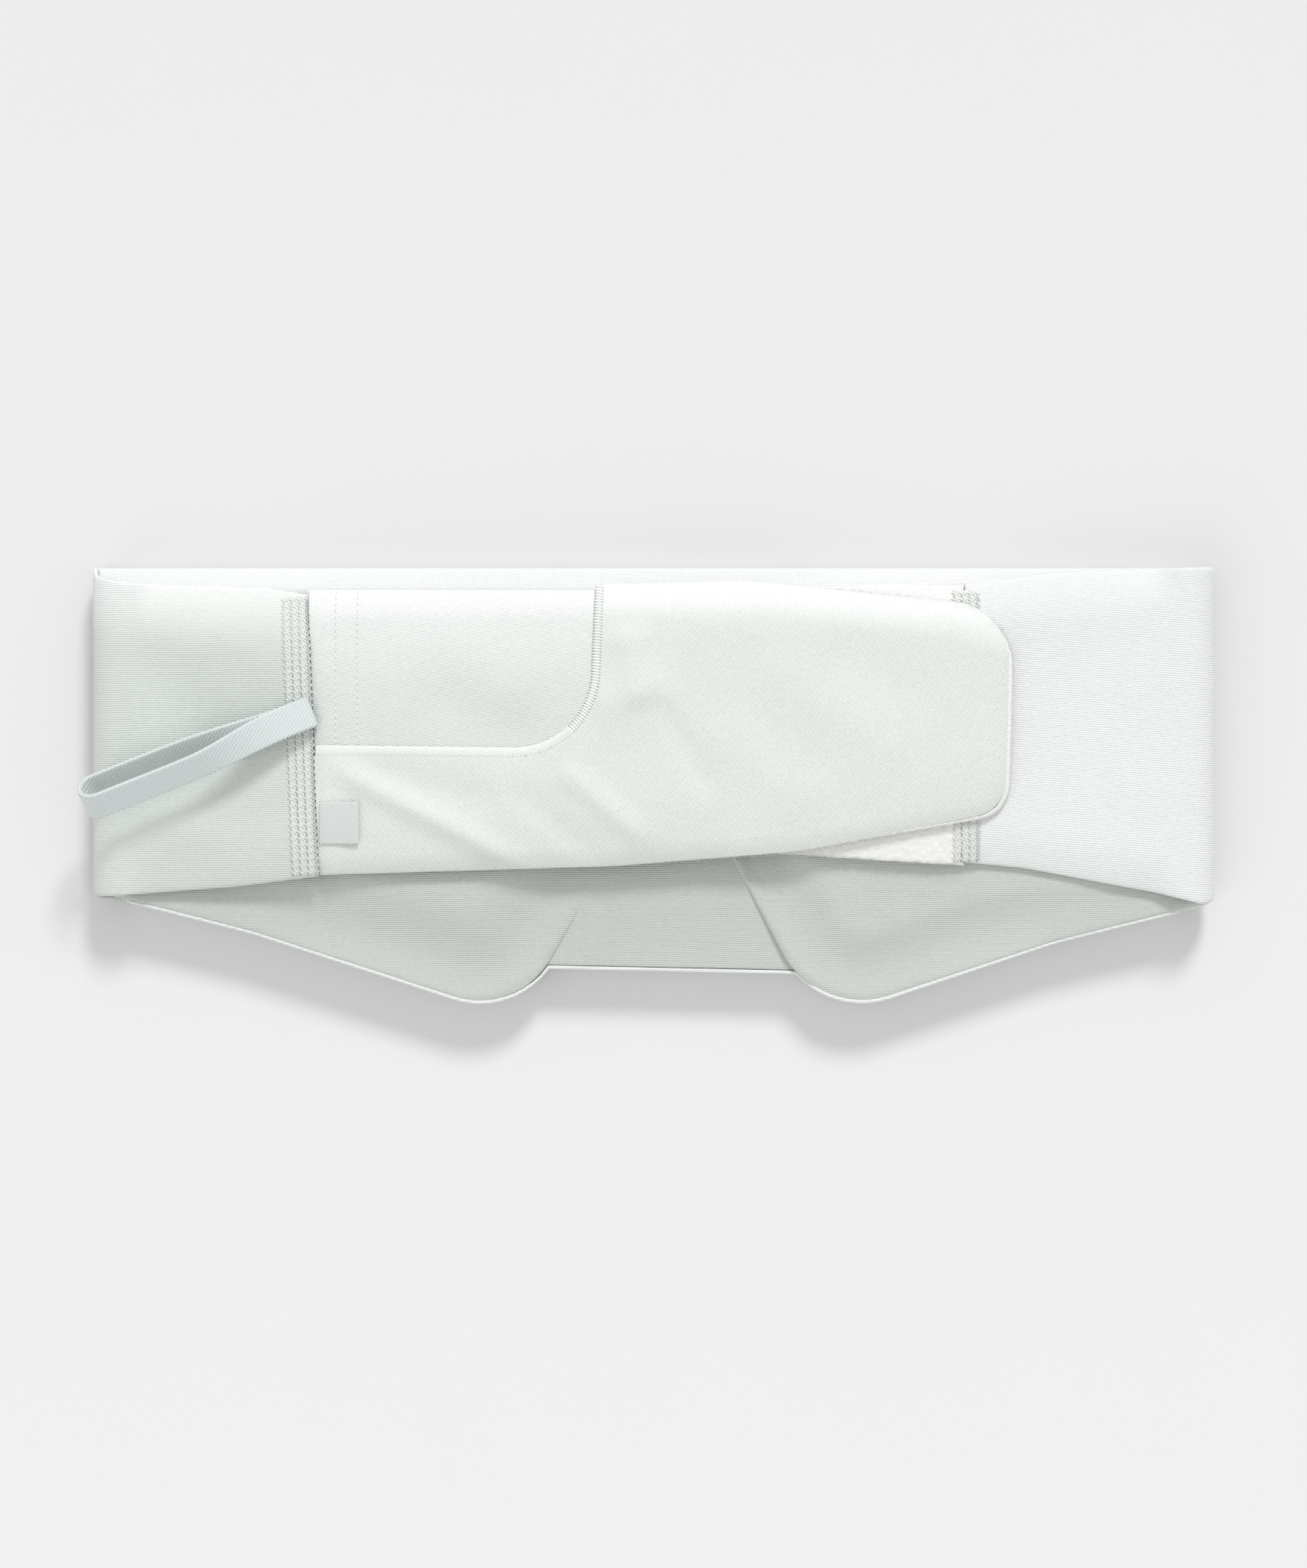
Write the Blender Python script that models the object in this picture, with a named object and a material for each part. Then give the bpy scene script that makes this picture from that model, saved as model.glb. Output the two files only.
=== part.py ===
"""Weighted wrap-around eye pillow, laid flat with its closure on top.

The band is a closed loop pressed flat.  The eye panel with its two weighted lobes lies at the
bottom with its outer face on the table.  The two straps come round the folds and meet on top,
where the closure flap of the left strap lies on the landing panel of the right strap.

Frame: metres, +Z up from the resting face, +X towards the right fold, +Y towards the forehead.
The origin is on the resting face, in the middle between the two folds.
"""

from math import cos, pi, radians, sin, tan

import bmesh
import bpy
from mathutils import Vector

MM = 0.001

# The band
HALF_LENGTH = 140 * MM          # from the middle to the outside of a fold
PANEL_END = 131 * MM            # where the flat layers stop and the fold fabric starts
TOP_EDGE = 54 * MM
FOLD_BOTTOM = -28 * MM
BAND_HEIGHT = 15.8 * MM         # height of the band at the folds
KNIT = 1.0 * MM                 # face knit
SHELL_KNIT = 1.2 * MM
GAP = 0.3 * MM                  # between neighbouring layers

# Heights of the layers of the eye panel, from the table up
BLACKOUT_Z = (1.5 * MM, 1.8 * MM)
NOSE_PANEL_Z = (2.1 * MM, 2.9 * MM)
POUCH_BASE_Z = (3.2 * MM, 3.5 * MM)
BEADS_Z = (3.8 * MM, 8.2 * MM)
POUCH_COVER_TOP = 8.8 * MM
POUCH_FILM = 0.3 * MM
BATTING_TOP = 10.1 * MM
BATTING = 0.8 * MM
LINING_TOP = 11.6 * MM
SHOULDER_RUN = 6 * MM           # how far in from its edge a lobe is still rounded
SHOULDER_DROP = 2.2 * MM

# Heights of the straps and of the closure flap
BACKING_Z = (13.9 * MM, 14.5 * MM)
STRAP_FACE_Z = (14.8 * MM, 15.8 * MM)
SEAM_Z = (16.1 * MM, 16.5 * MM)
HOOK_TAPE_Z = (16.1 * MM, 16.9 * MM)
FLAP_BACKING_Z = (17.2 * MM, 17.8 * MM)
POCKET_BAG_Z = (18.1 * MM, 18.7 * MM)
TOPSTITCH_Z = (19.0 * MM, 19.3 * MM)
FLAP_FACE_Z = (19.0 * MM, 20.0 * MM)
LABEL_Z = (20.3 * MM, 20.8 * MM)
STRAP_RISE = 3.3 * MM           # how far the left strap climbs from its fold to the flap

# Hinges
FOLD_HINGE_X = 134 * MM
FLAP_HINGE_Z = 20.2 * MM
LOOP_HINGE = Vector((-85.8, 17.0, 19.9)) * MM

# The seam that joins the left strap to the flap, a slightly slanted line
SEAM_FOOT = Vector((-82.6, -22.9)) * MM
SEAM_HEAD = Vector((-85.3, 47.1)) * MM
SEAM_CLEARANCE = 0.5 * MM
STRAP_SLOPE = STRAP_RISE / (PANEL_END + SEAM_FOOT.x)
RIGHT_SEAM_X = 77.5             # millimetres, the seam between the right strap and the landing panel

# Flatlock stitching
STITCH_ROWS = 4
STITCH_ROW_PITCH = 2.0 * MM
STITCH_RUNGS = 12
STITCH_SETBACK = 3.9 * MM       # middle of the left rows, from the line of the seam
BACKING_INSET = 0.6 * MM
THREAD = 0.5 * MM

# Overlocked mouth of the scoop pocket
MOUTH_WIDTH = 2.9 * MM
MOUTH_HEIGHT = 1.5 * MM

# Hanging loop of woven tape
TAPE_WIDTH = 7.8 * MM
TAPE = 1.1 * MM
LOOP_BASE = Vector((-86.4, 17.0)) * MM
LOOP_TIP = Vector((-137.2, -2.8)) * MM
LOOP_GAP = (0.85 * MM, 3.9 * MM)    # half the distance between its two strands, base and belly
LOOP_TILT = radians(39)             # how far the tape stands up at the belly
LOOP_STEPS = 12

ARC_STEPS = 7
FOLD_STEPS = 14

COLORS = {
    "face_knit": (0.74, 0.79, 0.75, 1.0),
    "lining_knit": (0.60, 0.65, 0.61, 1.0),
    "brushed_white": (0.86, 0.87, 0.86, 1.0),
    "woven_tape": (0.70, 0.77, 0.78, 1.0),
    "thread": (0.70, 0.75, 0.71, 1.0),
    "label_satin": (0.78, 0.83, 0.80, 1.0),
    "blackout": (0.10, 0.10, 0.11, 1.0),
    "pouch_cloth": (0.62, 0.62, 0.60, 1.0),
    "beads": (0.80, 0.82, 0.80, 1.0),
    "batting": (0.88, 0.88, 0.86, 1.0),
    "hook_plastic": (0.85, 0.86, 0.85, 1.0),
}
ROUGHNESS = {"label_satin": 0.45, "beads": 0.35, "hook_plastic": 0.5}
CLOTH_ROUGHNESS = 0.9


def clear_scene():
    for obj in list(bpy.data.objects):
        bpy.data.objects.remove(obj, do_unlink=True)


def material(name):
    found = bpy.data.materials.get(name)
    if found:
        return found
    made = bpy.data.materials.new(name)
    made.use_nodes = True
    shader = made.node_tree.nodes["Principled BSDF"]
    shader.inputs["Base Color"].default_value = COLORS[name]
    shader.inputs["Roughness"].default_value = ROUGHNESS.get(name, CLOTH_ROUGHNESS)
    shader.inputs["Metallic"].default_value = 0.0
    return made


def add_object(name, bm, material_name, parent):
    """Makes one object of a bmesh, under the empty that its body turns about."""
    bmesh.ops.recalc_face_normals(bm, faces=bm.faces)
    if bm.calc_volume(signed=True) < 0:
        bmesh.ops.reverse_faces(bm, faces=bm.faces)
    mesh = bpy.data.meshes.new(name)
    bm.to_mesh(mesh)
    bm.free()
    mesh.materials.append(material(material_name))
    obj = bpy.data.objects.new(name, mesh)
    bpy.context.scene.collection.objects.link(obj)
    if parent:
        obj.parent = parent
        obj.matrix_parent_inverse = parent.matrix_world.inverted()
    return obj


def axis_empty(name, place, parent=None):
    empty = bpy.data.objects.new(name, None)
    bpy.context.scene.collection.objects.link(empty)
    empty.location = place
    if parent:
        empty.parent = parent
        empty.location = Vector(place) - parent.matrix_world.translation
    bpy.context.view_layer.update()
    return empty


def rounded(corners, closed=True):
    """Points along an outline whose corners are (x, y, radius) in millimetres."""
    points = []
    last = len(corners) - 1
    for i, (x, y, radius) in enumerate(corners):
        corner = Vector((x, y))
        if radius == 0 or (not closed and i in (0, last)):
            points.append(corner)
            continue
        back = (Vector(corners[i - 1][:2]) - corner).normalized()
        onward = (Vector(corners[(i + 1) % len(corners)][:2]) - corner).normalized()
        half = back.angle(onward) / 2
        centre = corner + (back + onward).normalized() * radius / sin(half)
        first = corner + back * radius / tan(half) - centre
        final = corner + onward * radius / tan(half) - centre
        for step in range(ARC_STEPS + 1):
            spoke = first.slerp(final, step / ARC_STEPS).normalized()
            points.append(centre + spoke * radius)
    return [point * MM for point in points]


def inset(outline, distance):
    """The outline, counter-clockwise, moved inwards by a distance."""
    moved = []
    for i, point in enumerate(outline):
        arriving = (point - outline[i - 1]).normalized()
        leaving = (outline[(i + 1) % len(outline)] - point).normalized()
        inward = Vector((-arriving.y, arriving.x))
        middle = (inward + Vector((-leaving.y, leaving.x))).normalized()
        moved.append(point + middle * distance / middle.dot(inward))
    return moved


def join_loops(bm, loops):
    """Faces between each loop of vertices and the next, with the first and last loop filled."""
    bm.faces.new(loops[0])
    bm.faces.new(loops[-1])
    for lower, upper in zip(loops, loops[1:]):
        for i in range(len(lower)):
            j = (i + 1) % len(lower)
            bm.faces.new((lower[i], lower[j], upper[j], upper[i]))


def layered(name, outline, rings, material_name, parent=None, rise=0.0):
    """One closed body: the outline at each (inset, height) in turn, filled at both ends."""
    bm = bmesh.new()
    loops = []
    for distance, z in rings:
        loop = []
        for point in inset(outline, distance):
            lift = rise * (point.x + PANEL_END)
            loop.append(bm.verts.new((point.x, point.y, z + lift)))
        loops.append(loop)
    join_loops(bm, loops)
    return add_object(name, bm, material_name, parent)


def sheet(name, outline, heights, material_name, parent=None, rise=0.0):
    rings = [(0.0, heights[0]), (0.0, heights[1])]
    return layered(name, outline, rings, material_name, parent, rise)


def dome(edge, rim_z, top_z):
    """(inset, height) of a padded top: a short wall, then a shoulder that runs in to the flat."""
    return [
        (edge, rim_z),
        (edge, top_z - SHOULDER_DROP),
        (edge + 0.25 * SHOULDER_RUN, top_z - 0.45 * SHOULDER_DROP),
        (edge + SHOULDER_RUN, top_z),
    ]


def cover(name, outline, edge, rim_z, top_z, wall, material_name):
    """An upturned shallow bowl: a domed layer that is open underneath."""
    inside = dome(edge + wall, rim_z, top_z - wall)
    rings = [*reversed(inside), *dome(edge, rim_z, top_z)]
    return layered(name, outline, rings, material_name)


def swept(name, places, widths, heights, size, material_name, parent=None, rise=0.0):
    """A bar of rectangular section along places, with its own width and height direction at each."""
    bm = bmesh.new()
    loops = []
    for place, across, up in zip(places, widths, heights):
        loop = []
        for side, level in ((-1, -1), (1, -1), (1, 1), (-1, 1)):
            point = place + across * side * size[0] / 2 + up * level * size[1] / 2
            point.z += rise * (point.x + PANEL_END)
            loop.append(bm.verts.new(point))
        loops.append(loop)
    join_loops(bm, loops)
    return add_object(name, bm, material_name, parent)


def rail(name, path, z_range, width, material_name, parent=None, rise=0.0):
    """A flat bar that follows a path lying in the plane."""
    height = z_range[1] - z_range[0]
    middle = (z_range[0] + z_range[1]) / 2
    places = [Vector((p.x, p.y, middle)) for p in path]
    widths = []
    for i in range(len(path)):
        along = path[min(i + 1, len(path) - 1)] - path[max(i - 1, 0)]
        widths.append(Vector((along.y, -along.x, 0.0)).normalized())
    heights = [Vector((0.0, 0.0, 1.0))] * len(path)
    size = (width, height)
    return swept(name, places, widths, heights, size, material_name, parent, rise)


def flatlock(name, foot, head, z_range, parent, rise=0.0):
    """Needle rows joined by the looper thread: a ladder with square holes between its threads."""
    width = STITCH_ROW_PITCH * (STITCH_ROWS - 1)
    along = head - foot
    across = Vector((along.y, -along.x)).normalized()
    columns = []
    for row in range(STITCH_ROWS):
        middle = row * STITCH_ROW_PITCH - width / 2
        columns += [middle - THREAD / 2, middle + THREAD / 2]
    lines = []
    for rung in range(STITCH_RUNGS):
        share = rung / (STITCH_RUNGS - 1)
        shift = THREAD / along.length
        start = share * (1 - shift)
        lines += [start, start + shift]
    bm = bmesh.new()
    for z in z_range:
        for share in lines:
            for column in columns:
                point = foot + along * share + across * column
                lift = rise * (point.x + PANEL_END)
                bm.verts.new((point.x, point.y, z + lift))
    bm.verts.ensure_lookup_table()
    wide = len(columns)
    level = wide * len(lines)
    filled = set()
    for j in range(len(lines) - 1):
        for i in range(wide - 1):
            if j % 2 == 0 or i % 2 == 0:
                filled.add((i, j))
    for i, j in sorted(filled):
        low = [j * wide + i, j * wide + i + 1, (j + 1) * wide + i + 1, (j + 1) * wide + i]
        bm.faces.new([bm.verts[k] for k in low])
        bm.faces.new([bm.verts[k + level] for k in reversed(low)])
        beside = ((i, j - 1), (i + 1, j), (i, j + 1), (i - 1, j))
        for side, cell in enumerate(beside):
            if cell in filled:
                continue
            a = low[side]
            b = low[(side + 1) % 4]
            bm.faces.new([bm.verts[k] for k in (b, a, a + level, b + level)])
    return add_object(name, bm, "thread", parent)


def fold(name, side):
    """The face knit where it turns round from the eye panel to a strap."""
    outer = BAND_HEIGHT / 2
    start = PANEL_END + GAP
    middle = HALF_LENGTH - outer
    profile = [(start, 0.0)]
    for radius, turn in ((outer, 1), (outer - SHELL_KNIT, -1)):
        for step in range(FOLD_STEPS + 1):
            angle = turn * (step / FOLD_STEPS - 0.5) * pi
            profile.append((middle + radius * cos(angle), outer + radius * sin(angle)))
        if turn == 1:
            profile.append((start, BAND_HEIGHT))
            profile.append((start, BAND_HEIGHT - SHELL_KNIT))
    profile.append((start, SHELL_KNIT))
    bm = bmesh.new()
    loops = []
    for y in (FOLD_BOTTOM, TOP_EDGE):
        loops.append([bm.verts.new((side * x, y, z)) for x, z in profile])
    join_loops(bm, loops)
    return add_object(name, bm, "face_knit", None)


def lobe_outline(side):
    """One eye lobe: from the fold along its rounded lower edge and up beside the nose."""
    if side < 0:
        corners = [
            (-131, -30.1, 0),
            (-100, -37.3, 60),
            (-33.8, -58.4, 21),
            (3.6, 4.4, 0),
            (4.4, 54, 0),
            (-131, 54, 0),
        ]
    else:
        corners = [
            (131, 54, 0),
            (5.6, 54, 0),
            (6.4, 6.0, 0),
            (41.1, -58.8, 22),
            (100, -40.0, 60),
            (131, -32.2, 0),
        ]
    return rounded(corners)


def build_eye_panel():
    shell = [
        (-131, -29.6, 0),
        (-100, -36.6, 60),
        (-45, -54.2, 18),
        (-31, -51.6, 8),
        (-24.5, -46.0, 3),
        (33.5, -47.3, 3),
        (41, -51.8, 8),
        (53, -54.3, 18),
        (100, -39.4, 60),
        (131, -31.8, 0),
        (131, 54, 0),
        (-131, 54, 0),
    ]
    outline = rounded(shell)
    sheet("outer_shell", outline, (0.0, SHELL_KNIT), "face_knit")
    sheet("blackout_layer", inset(outline, 2 * MM), BLACKOUT_Z, "blackout")
    nose = rounded([(-40, -45.6, 0), (48, -46.9, 0), (30, 52, 0), (-22, 52, 0)])
    sheet("nose_panel", nose, NOSE_PANEL_Z, "lining_knit")
    for name, side in (("left", -1), ("right", 1)):
        build_lobe(name, lobe_outline(side))
        fold(f"{name}_fold", side)


def build_lobe(name, outline):
    """The layers of one weighted lobe, each inside the next."""
    floor = POUCH_BASE_Z[0]
    batting_edge = KNIT + GAP
    pouch_edge = batting_edge + BATTING + GAP
    beads_edge = pouch_edge + POUCH_FILM + GAP
    pouch_outline = inset(outline, pouch_edge)
    sheet(f"{name}_pouch_base", pouch_outline, POUCH_BASE_Z, "pouch_cloth")
    layered(f"{name}_bead_fill", outline, dome(beads_edge, *BEADS_Z), "beads")
    cover(
        f"{name}_pouch_cover",
        outline,
        pouch_edge,
        BEADS_Z[0],
        POUCH_COVER_TOP,
        POUCH_FILM,
        "pouch_cloth",
    )
    cover(f"{name}_batting", outline, batting_edge, floor, BATTING_TOP, BATTING, "batting")
    cover(f"{name}_lobe_lining", outline, 0.0, floor, LINING_TOP, KNIT, "lining_knit")


def seam_x(y, offset):
    """Where the left seam's line is at a height y, moved sideways by an offset."""
    share = (y - SEAM_FOOT.y) / (SEAM_HEAD.y - SEAM_FOOT.y)
    return SEAM_FOOT.x + share * (SEAM_HEAD.x - SEAM_FOOT.x) + offset


def build_left_strap(pivot):
    corners = [
        (-131, -27.6, 0),
        (seam_x(SEAM_FOOT.y, -SEAM_CLEARANCE) / MM, -23.0, 0),
        (seam_x(SEAM_HEAD.y, -SEAM_CLEARANCE) / MM, 47.1, 0),
        (-131, 50.2, 0),
    ]
    outline = rounded(corners)
    sheet("left_strap_face", outline, STRAP_FACE_Z, "face_knit", pivot, STRAP_SLOPE)
    backing = inset(outline, BACKING_INSET)
    sheet("left_strap_backing", backing, BACKING_Z, "brushed_white", pivot, STRAP_SLOPE)
    foot = Vector((seam_x(-22 * MM, -STITCH_SETBACK), -22 * MM))
    head = Vector((seam_x(46 * MM, -STITCH_SETBACK), 46 * MM))
    flatlock("left_seam_stitching", foot, head, SEAM_Z, pivot, STRAP_SLOPE)


def build_flap(pivot):
    left_foot = (seam_x(-22.6 * MM, SEAM_CLEARANCE) / MM, -22.6, 0)
    left_head = (seam_x(49 * MM, SEAM_CLEARANCE) / MM, 49.0, 0)
    lower = [left_foot, (-9.8, -20.4, 120), (37, -17.2, 120), (88.3, -7.6, 9)]
    upper = [(89.5, 44.0, 15), (24.5, 50.3, 60)]
    outline = rounded([*lower, *upper, left_head])
    sheet("flap_backing", outline, FLAP_BACKING_Z, "brushed_white", pivot)
    mouth_left = (seam_x(8.2 * MM, SEAM_CLEARANCE) / MM, 8.2, 0)
    mouth = [mouth_left, (-14.8, 7.4, 20.5), (-13.2, 49.2, 0)]
    away = MOUTH_WIDTH / 2 / MM + 0.3
    front_mouth = [
        (-13.2 + away, 49.8, 0),
        (-14.8 + away, 7.4 - away, 20.5 + away),
        (seam_x(6.4 * MM, SEAM_CLEARANCE) / MM, 8.2 - away, 0),
    ]
    front = rounded([*lower, *upper, *front_mouth])
    sheet("flap_face", front, FLAP_FACE_Z, "face_knit", pivot)
    bag = [
        (seam_x(-14 * MM, SEAM_CLEARANCE) / MM, -14, 0),
        (8, -14, 22),
        (10, 49.0, 0),
        (seam_x(48.6 * MM, SEAM_CLEARANCE) / MM, 48.6, 0),
    ]
    sheet("pocket_bag", rounded(bag), POCKET_BAG_Z, "face_knit", pivot)
    edge_z = (FLAP_FACE_Z[0], FLAP_FACE_Z[0] + MOUTH_HEIGHT)
    rail("pocket_mouth_edge", rounded(mouth, False), edge_z, MOUTH_WIDTH, "thread", pivot)
    for name, x in (("inner", -78.8), ("outer", -73.5)):
        row = [Vector((x, 11.5)) * MM, Vector((x, 45.6)) * MM]
        rail(f"{name}_topstitch", row, TOPSTITCH_Z, THREAD, "thread", pivot)
    label_left = seam_x(-9.6 * MM, SEAM_CLEARANCE) / MM
    label = [(label_left, -14.7, 0), (-73.2, -14.7, 0), (-73.2, -4.5, 0), (label_left, -4.5, 0)]
    sheet("woven_label", rounded(label), LABEL_Z, "label_satin", pivot)
    hook = [(38, -9.5, 3), (70, -5.5, 3), (70, 41, 3), (38, 44, 3)]
    sheet("hook_tape", rounded(hook), HOOK_TAPE_Z, "hook_plastic", pivot)


def build_right_strap(pivot):
    joint = RIGHT_SEAM_X
    beside = joint - GAP / MM
    landing = [(30, -17.5, 0), (beside, -20, 0), (beside, 49.8, 0), (30, 49.4, 0)]
    face = [(joint, -20, 0), (100, -22.3, 60), (131, -28.6, 0), (131, 53.2, 0), (joint, 50, 0)]
    backing = [
        (30.6, -16.9, 0),
        (joint, -19.4, 0),
        (100, -21.6, 60),
        (130.6, -27.9, 0),
        (130.6, 52.6, 0),
        (30.6, 48.8, 0),
    ]
    sheet("landing_panel", rounded(landing), STRAP_FACE_Z, "brushed_white", pivot)
    sheet("right_strap_face", rounded(face), STRAP_FACE_Z, "face_knit", pivot)
    sheet("right_strap_backing", rounded(backing), BACKING_Z, "brushed_white", pivot)
    foot = Vector((joint, -19)) * MM
    head = Vector((joint, 49)) * MM
    flatlock("right_seam_stitching", foot, head, SEAM_Z, pivot)


def eased(share):
    return share * share * (3 - 2 * share)


def loop_section(share):
    """Axis point, direction of the tape's width, direction between its strands, and half the gap."""
    axis = LOOP_TIP - LOOP_BASE
    sideways = Vector((-axis.y, axis.x, 0.0)).normalized() * -1
    up = Vector((0.0, 0.0, 1.0))
    tilt = LOOP_TILT * eased(min(share / 0.55, 1.0))
    half_gap = LOOP_GAP[0] + (LOOP_GAP[1] - LOOP_GAP[0]) * sin(pi / 2 * min(share / 0.7, 1.0))
    width = sideways * cos(tilt) + up * sin(tilt)
    between = up * cos(tilt) - sideways * sin(tilt)
    flat = LOOP_BASE + axis * share
    lowest = TAPE_WIDTH / 2 * sin(tilt) + (half_gap + TAPE / 2) * cos(tilt)
    place = Vector((flat.x, flat.y, SEAM_Z[1] + GAP + lowest))
    return place, width, between, half_gap


def build_hanging_loop(pivot):
    """Woven tape that runs out from the seam, turns at the tip and comes back on top of itself."""
    along = (LOOP_TIP - LOOP_BASE).to_3d().normalized()
    places, widths, normals = [], [], []
    for step in range(LOOP_STEPS + 1):
        place, width, between, half_gap = loop_section(step / LOOP_STEPS)
        places.append(place - between * half_gap)
        widths.append(width)
        normals.append(between)
    for step in range(1, LOOP_STEPS):
        place, width, between, half_gap = loop_section(1.0)
        angle = pi * step / LOOP_STEPS
        spoke = along * sin(angle) - between * cos(angle)
        places.append(place + spoke * half_gap)
        widths.append(width)
        normals.append(-spoke)
    for step in range(LOOP_STEPS, -1, -1):
        place, width, between, half_gap = loop_section(step / LOOP_STEPS)
        places.append(place + between * half_gap)
        widths.append(width)
        normals.append(-between)
    size = (TAPE_WIDTH, TAPE)
    swept("hanging_loop", places, widths, normals, size, "woven_tape", pivot, STRAP_SLOPE)


def main():
    clear_scene()
    build_eye_panel()
    left = axis_empty("left_fold_axis", (-FOLD_HINGE_X, 0.0, BAND_HEIGHT / 2))
    right = axis_empty("right_fold_axis", (FOLD_HINGE_X, 0.0, BAND_HEIGHT / 2))
    seam_middle = (SEAM_FOOT + SEAM_HEAD) / 2
    flap = axis_empty("flap_axis", (seam_middle.x, seam_middle.y, FLAP_HINGE_Z), left)
    loop = axis_empty("loop_axis", LOOP_HINGE, left)
    build_left_strap(left)
    build_flap(flap)
    build_right_strap(right)
    build_hanging_loop(loop)


main()
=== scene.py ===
"""Looks of the eye pillow: knit band, weighted lobes, closure flap, scoop pocket, seams and tape.

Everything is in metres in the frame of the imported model: +Z up from the table, +X towards the right
fold, +Y towards the forehead edge.  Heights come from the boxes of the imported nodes.
"""

import random
from math import cos, pi, radians, sin, tan

import bpy
import numpy as np
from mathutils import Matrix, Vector
from mathutils.geometry import delaunay_2d_cdt


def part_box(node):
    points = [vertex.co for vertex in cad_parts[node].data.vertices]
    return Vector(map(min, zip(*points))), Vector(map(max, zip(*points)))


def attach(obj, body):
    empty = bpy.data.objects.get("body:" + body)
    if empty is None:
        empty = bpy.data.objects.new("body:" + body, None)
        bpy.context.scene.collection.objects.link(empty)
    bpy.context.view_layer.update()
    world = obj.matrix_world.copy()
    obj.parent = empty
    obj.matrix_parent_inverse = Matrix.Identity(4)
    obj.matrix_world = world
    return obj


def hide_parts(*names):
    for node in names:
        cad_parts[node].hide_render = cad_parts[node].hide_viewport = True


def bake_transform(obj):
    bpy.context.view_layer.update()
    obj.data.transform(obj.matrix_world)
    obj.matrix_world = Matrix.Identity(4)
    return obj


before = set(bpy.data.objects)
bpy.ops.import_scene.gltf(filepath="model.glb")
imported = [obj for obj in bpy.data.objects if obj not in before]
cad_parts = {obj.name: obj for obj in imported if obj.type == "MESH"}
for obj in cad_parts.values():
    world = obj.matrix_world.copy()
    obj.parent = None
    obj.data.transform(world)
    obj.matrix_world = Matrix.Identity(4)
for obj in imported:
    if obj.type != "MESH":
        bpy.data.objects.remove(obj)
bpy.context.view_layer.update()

MM = 0.001

# Camera straight above the pillow
LENS = 135.0
SENSOR = 36.0
VIEW_HEIGHT = 391.2 * MM        # what the long side of the picture takes in
FOCUS_Z = 10 * MM

# Light: directions from the pillow towards each lamp
KEY_TOWARDS = (0.3, 1.22, 1.0)
KEY_STRENGTH = 1.86
KEY_ANGLE = radians(14)
FILL_TOWARDS = (-0.9, -0.9, 0.9)
FILL_STRENGTH = 0.45
FILL_ANGLE = radians(60)
SKY_STRENGTH = 0.77

# The band: a loop pressed flat, folded at both ends
FOLD_CENTRE = 132.1 * MM        # where the half circle of each fold starts
FOLD_RADIUS = 7.9 * MM          # outside
BAND_TOP = 2 * FOLD_RADIUS
BAND_THICKNESS = 1.1 * MM
BAND_END = FOLD_CENTRE + pi * (FOLD_RADIUS - BAND_THICKNESS / 2) + 0.8 * MM     # laid out flat
PANEL_END = 131.3 * MM

# The eye panel
RIM_WALL = 0.9 * MM             # the face knit stands up round the lobes as a thin rim
LOBE_RIM_Z = 11.2 * MM
NOSE_RIM_Z = 9.6 * MM
FOLD_RIM_Z = 11.8 * MM
LOBE_VALLEY = 1.3 * MM          # the padded rim of a lobe stands this much over the hollow inside it
LOBE_RIM_WIDTH = 7.5 * MM
LOBE_CROWN = 3.6 * MM
LOBE_TOP_LIMIT = 12.1 * MM      # under the straps
LOBE_MIDDLE_LIFT = 2.4 * MM     # higher still under the flap, where no strap lies between
LOBE_BACK_Y = 45.8 * MM
SWELL = 0.8 * MM                # how far cloth pressure may move a lobe's cloth
SWELL_OVER = 0.24 * MM          # and how far above its drawn height
SWELL_FRAMES = 20
NOSE_LIFT = (6.2 * MM, 1.5 * MM)    # how far the nose panel stands up: at its edge, then further in
HEM_FOOT_Z = 1.4 * MM
HEM_TOP_Z = 11.0 * MM
HEM_BEND_Y = 48 * MM            # where the hem's top starts to slope down
HEM_SLOPE = 0.85
HIDDEN_RIM_Z = 1.7 * MM         # the rim, where other cloth covers it

# Stretches in millimetres over which a height changes: where it starts to, and where it has
NOSE_LEFT = (-62, -28)
NOSE_RIGHT = (68, 34)
NOSE_BACK = (34, 4)
NOSE_FRONT = (-47, -20)
RIM_NOSE_LEFT = (-34, -26)
RIM_NOSE_RIGHT = (43, 35)
RIM_ENDS = (110, 136)
RIM_BACK = (0, 20)
RIM_CORNERS = (131, 133.5)
HOLLOW_ENDS = (80, 105)
CROWN_RUN = (LOBE_RIM_WIDTH / MM, LOBE_RIM_WIDTH / MM + 16)     # from the free edge of a lobe
MIDDLE_LEFT = (-84, -72)
MIDDLE_RIGHT = (30, 20)
SEAM_SIDE = (70, 84)            # the right strap's foot is flatter on the flap's side
FLAP_SEAM_SIDE = (24, 10)       # the flap's foot rolls further towards its seam
LABEL_FREE = (-80, -73)

# Rounded edges: how far in each one starts, and how far it falls
LEFT_HEAD_ROLL = (17 * MM, 4.3 * MM)
LEFT_FOOT_ROLL = (14 * MM, 2.2 * MM)
RIGHT_HEAD_ROLL = (12 * MM, 3.4 * MM)
RIGHT_FOOT_ROLL = (11 * MM, 1.9 * MM)
FLAP_HEAD_ROLL = (9 * MM, 4.2 * MM)
FLAP_FOOT_ROLL = (18 * MM, 1.5 * MM)
FLAP_END_ROLL = (7 * MM, 0.7 * MM)
FLAP_SEAM_ROLL = (3.5 * MM, 0.8 * MM)
FLAP_PINCH = (5 * MM, 1.2 * MM)     # the flap's layers draw together at its cut edge
LOBE_INNER_ROLL = (6 * MM, 1.3 * MM)

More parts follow.
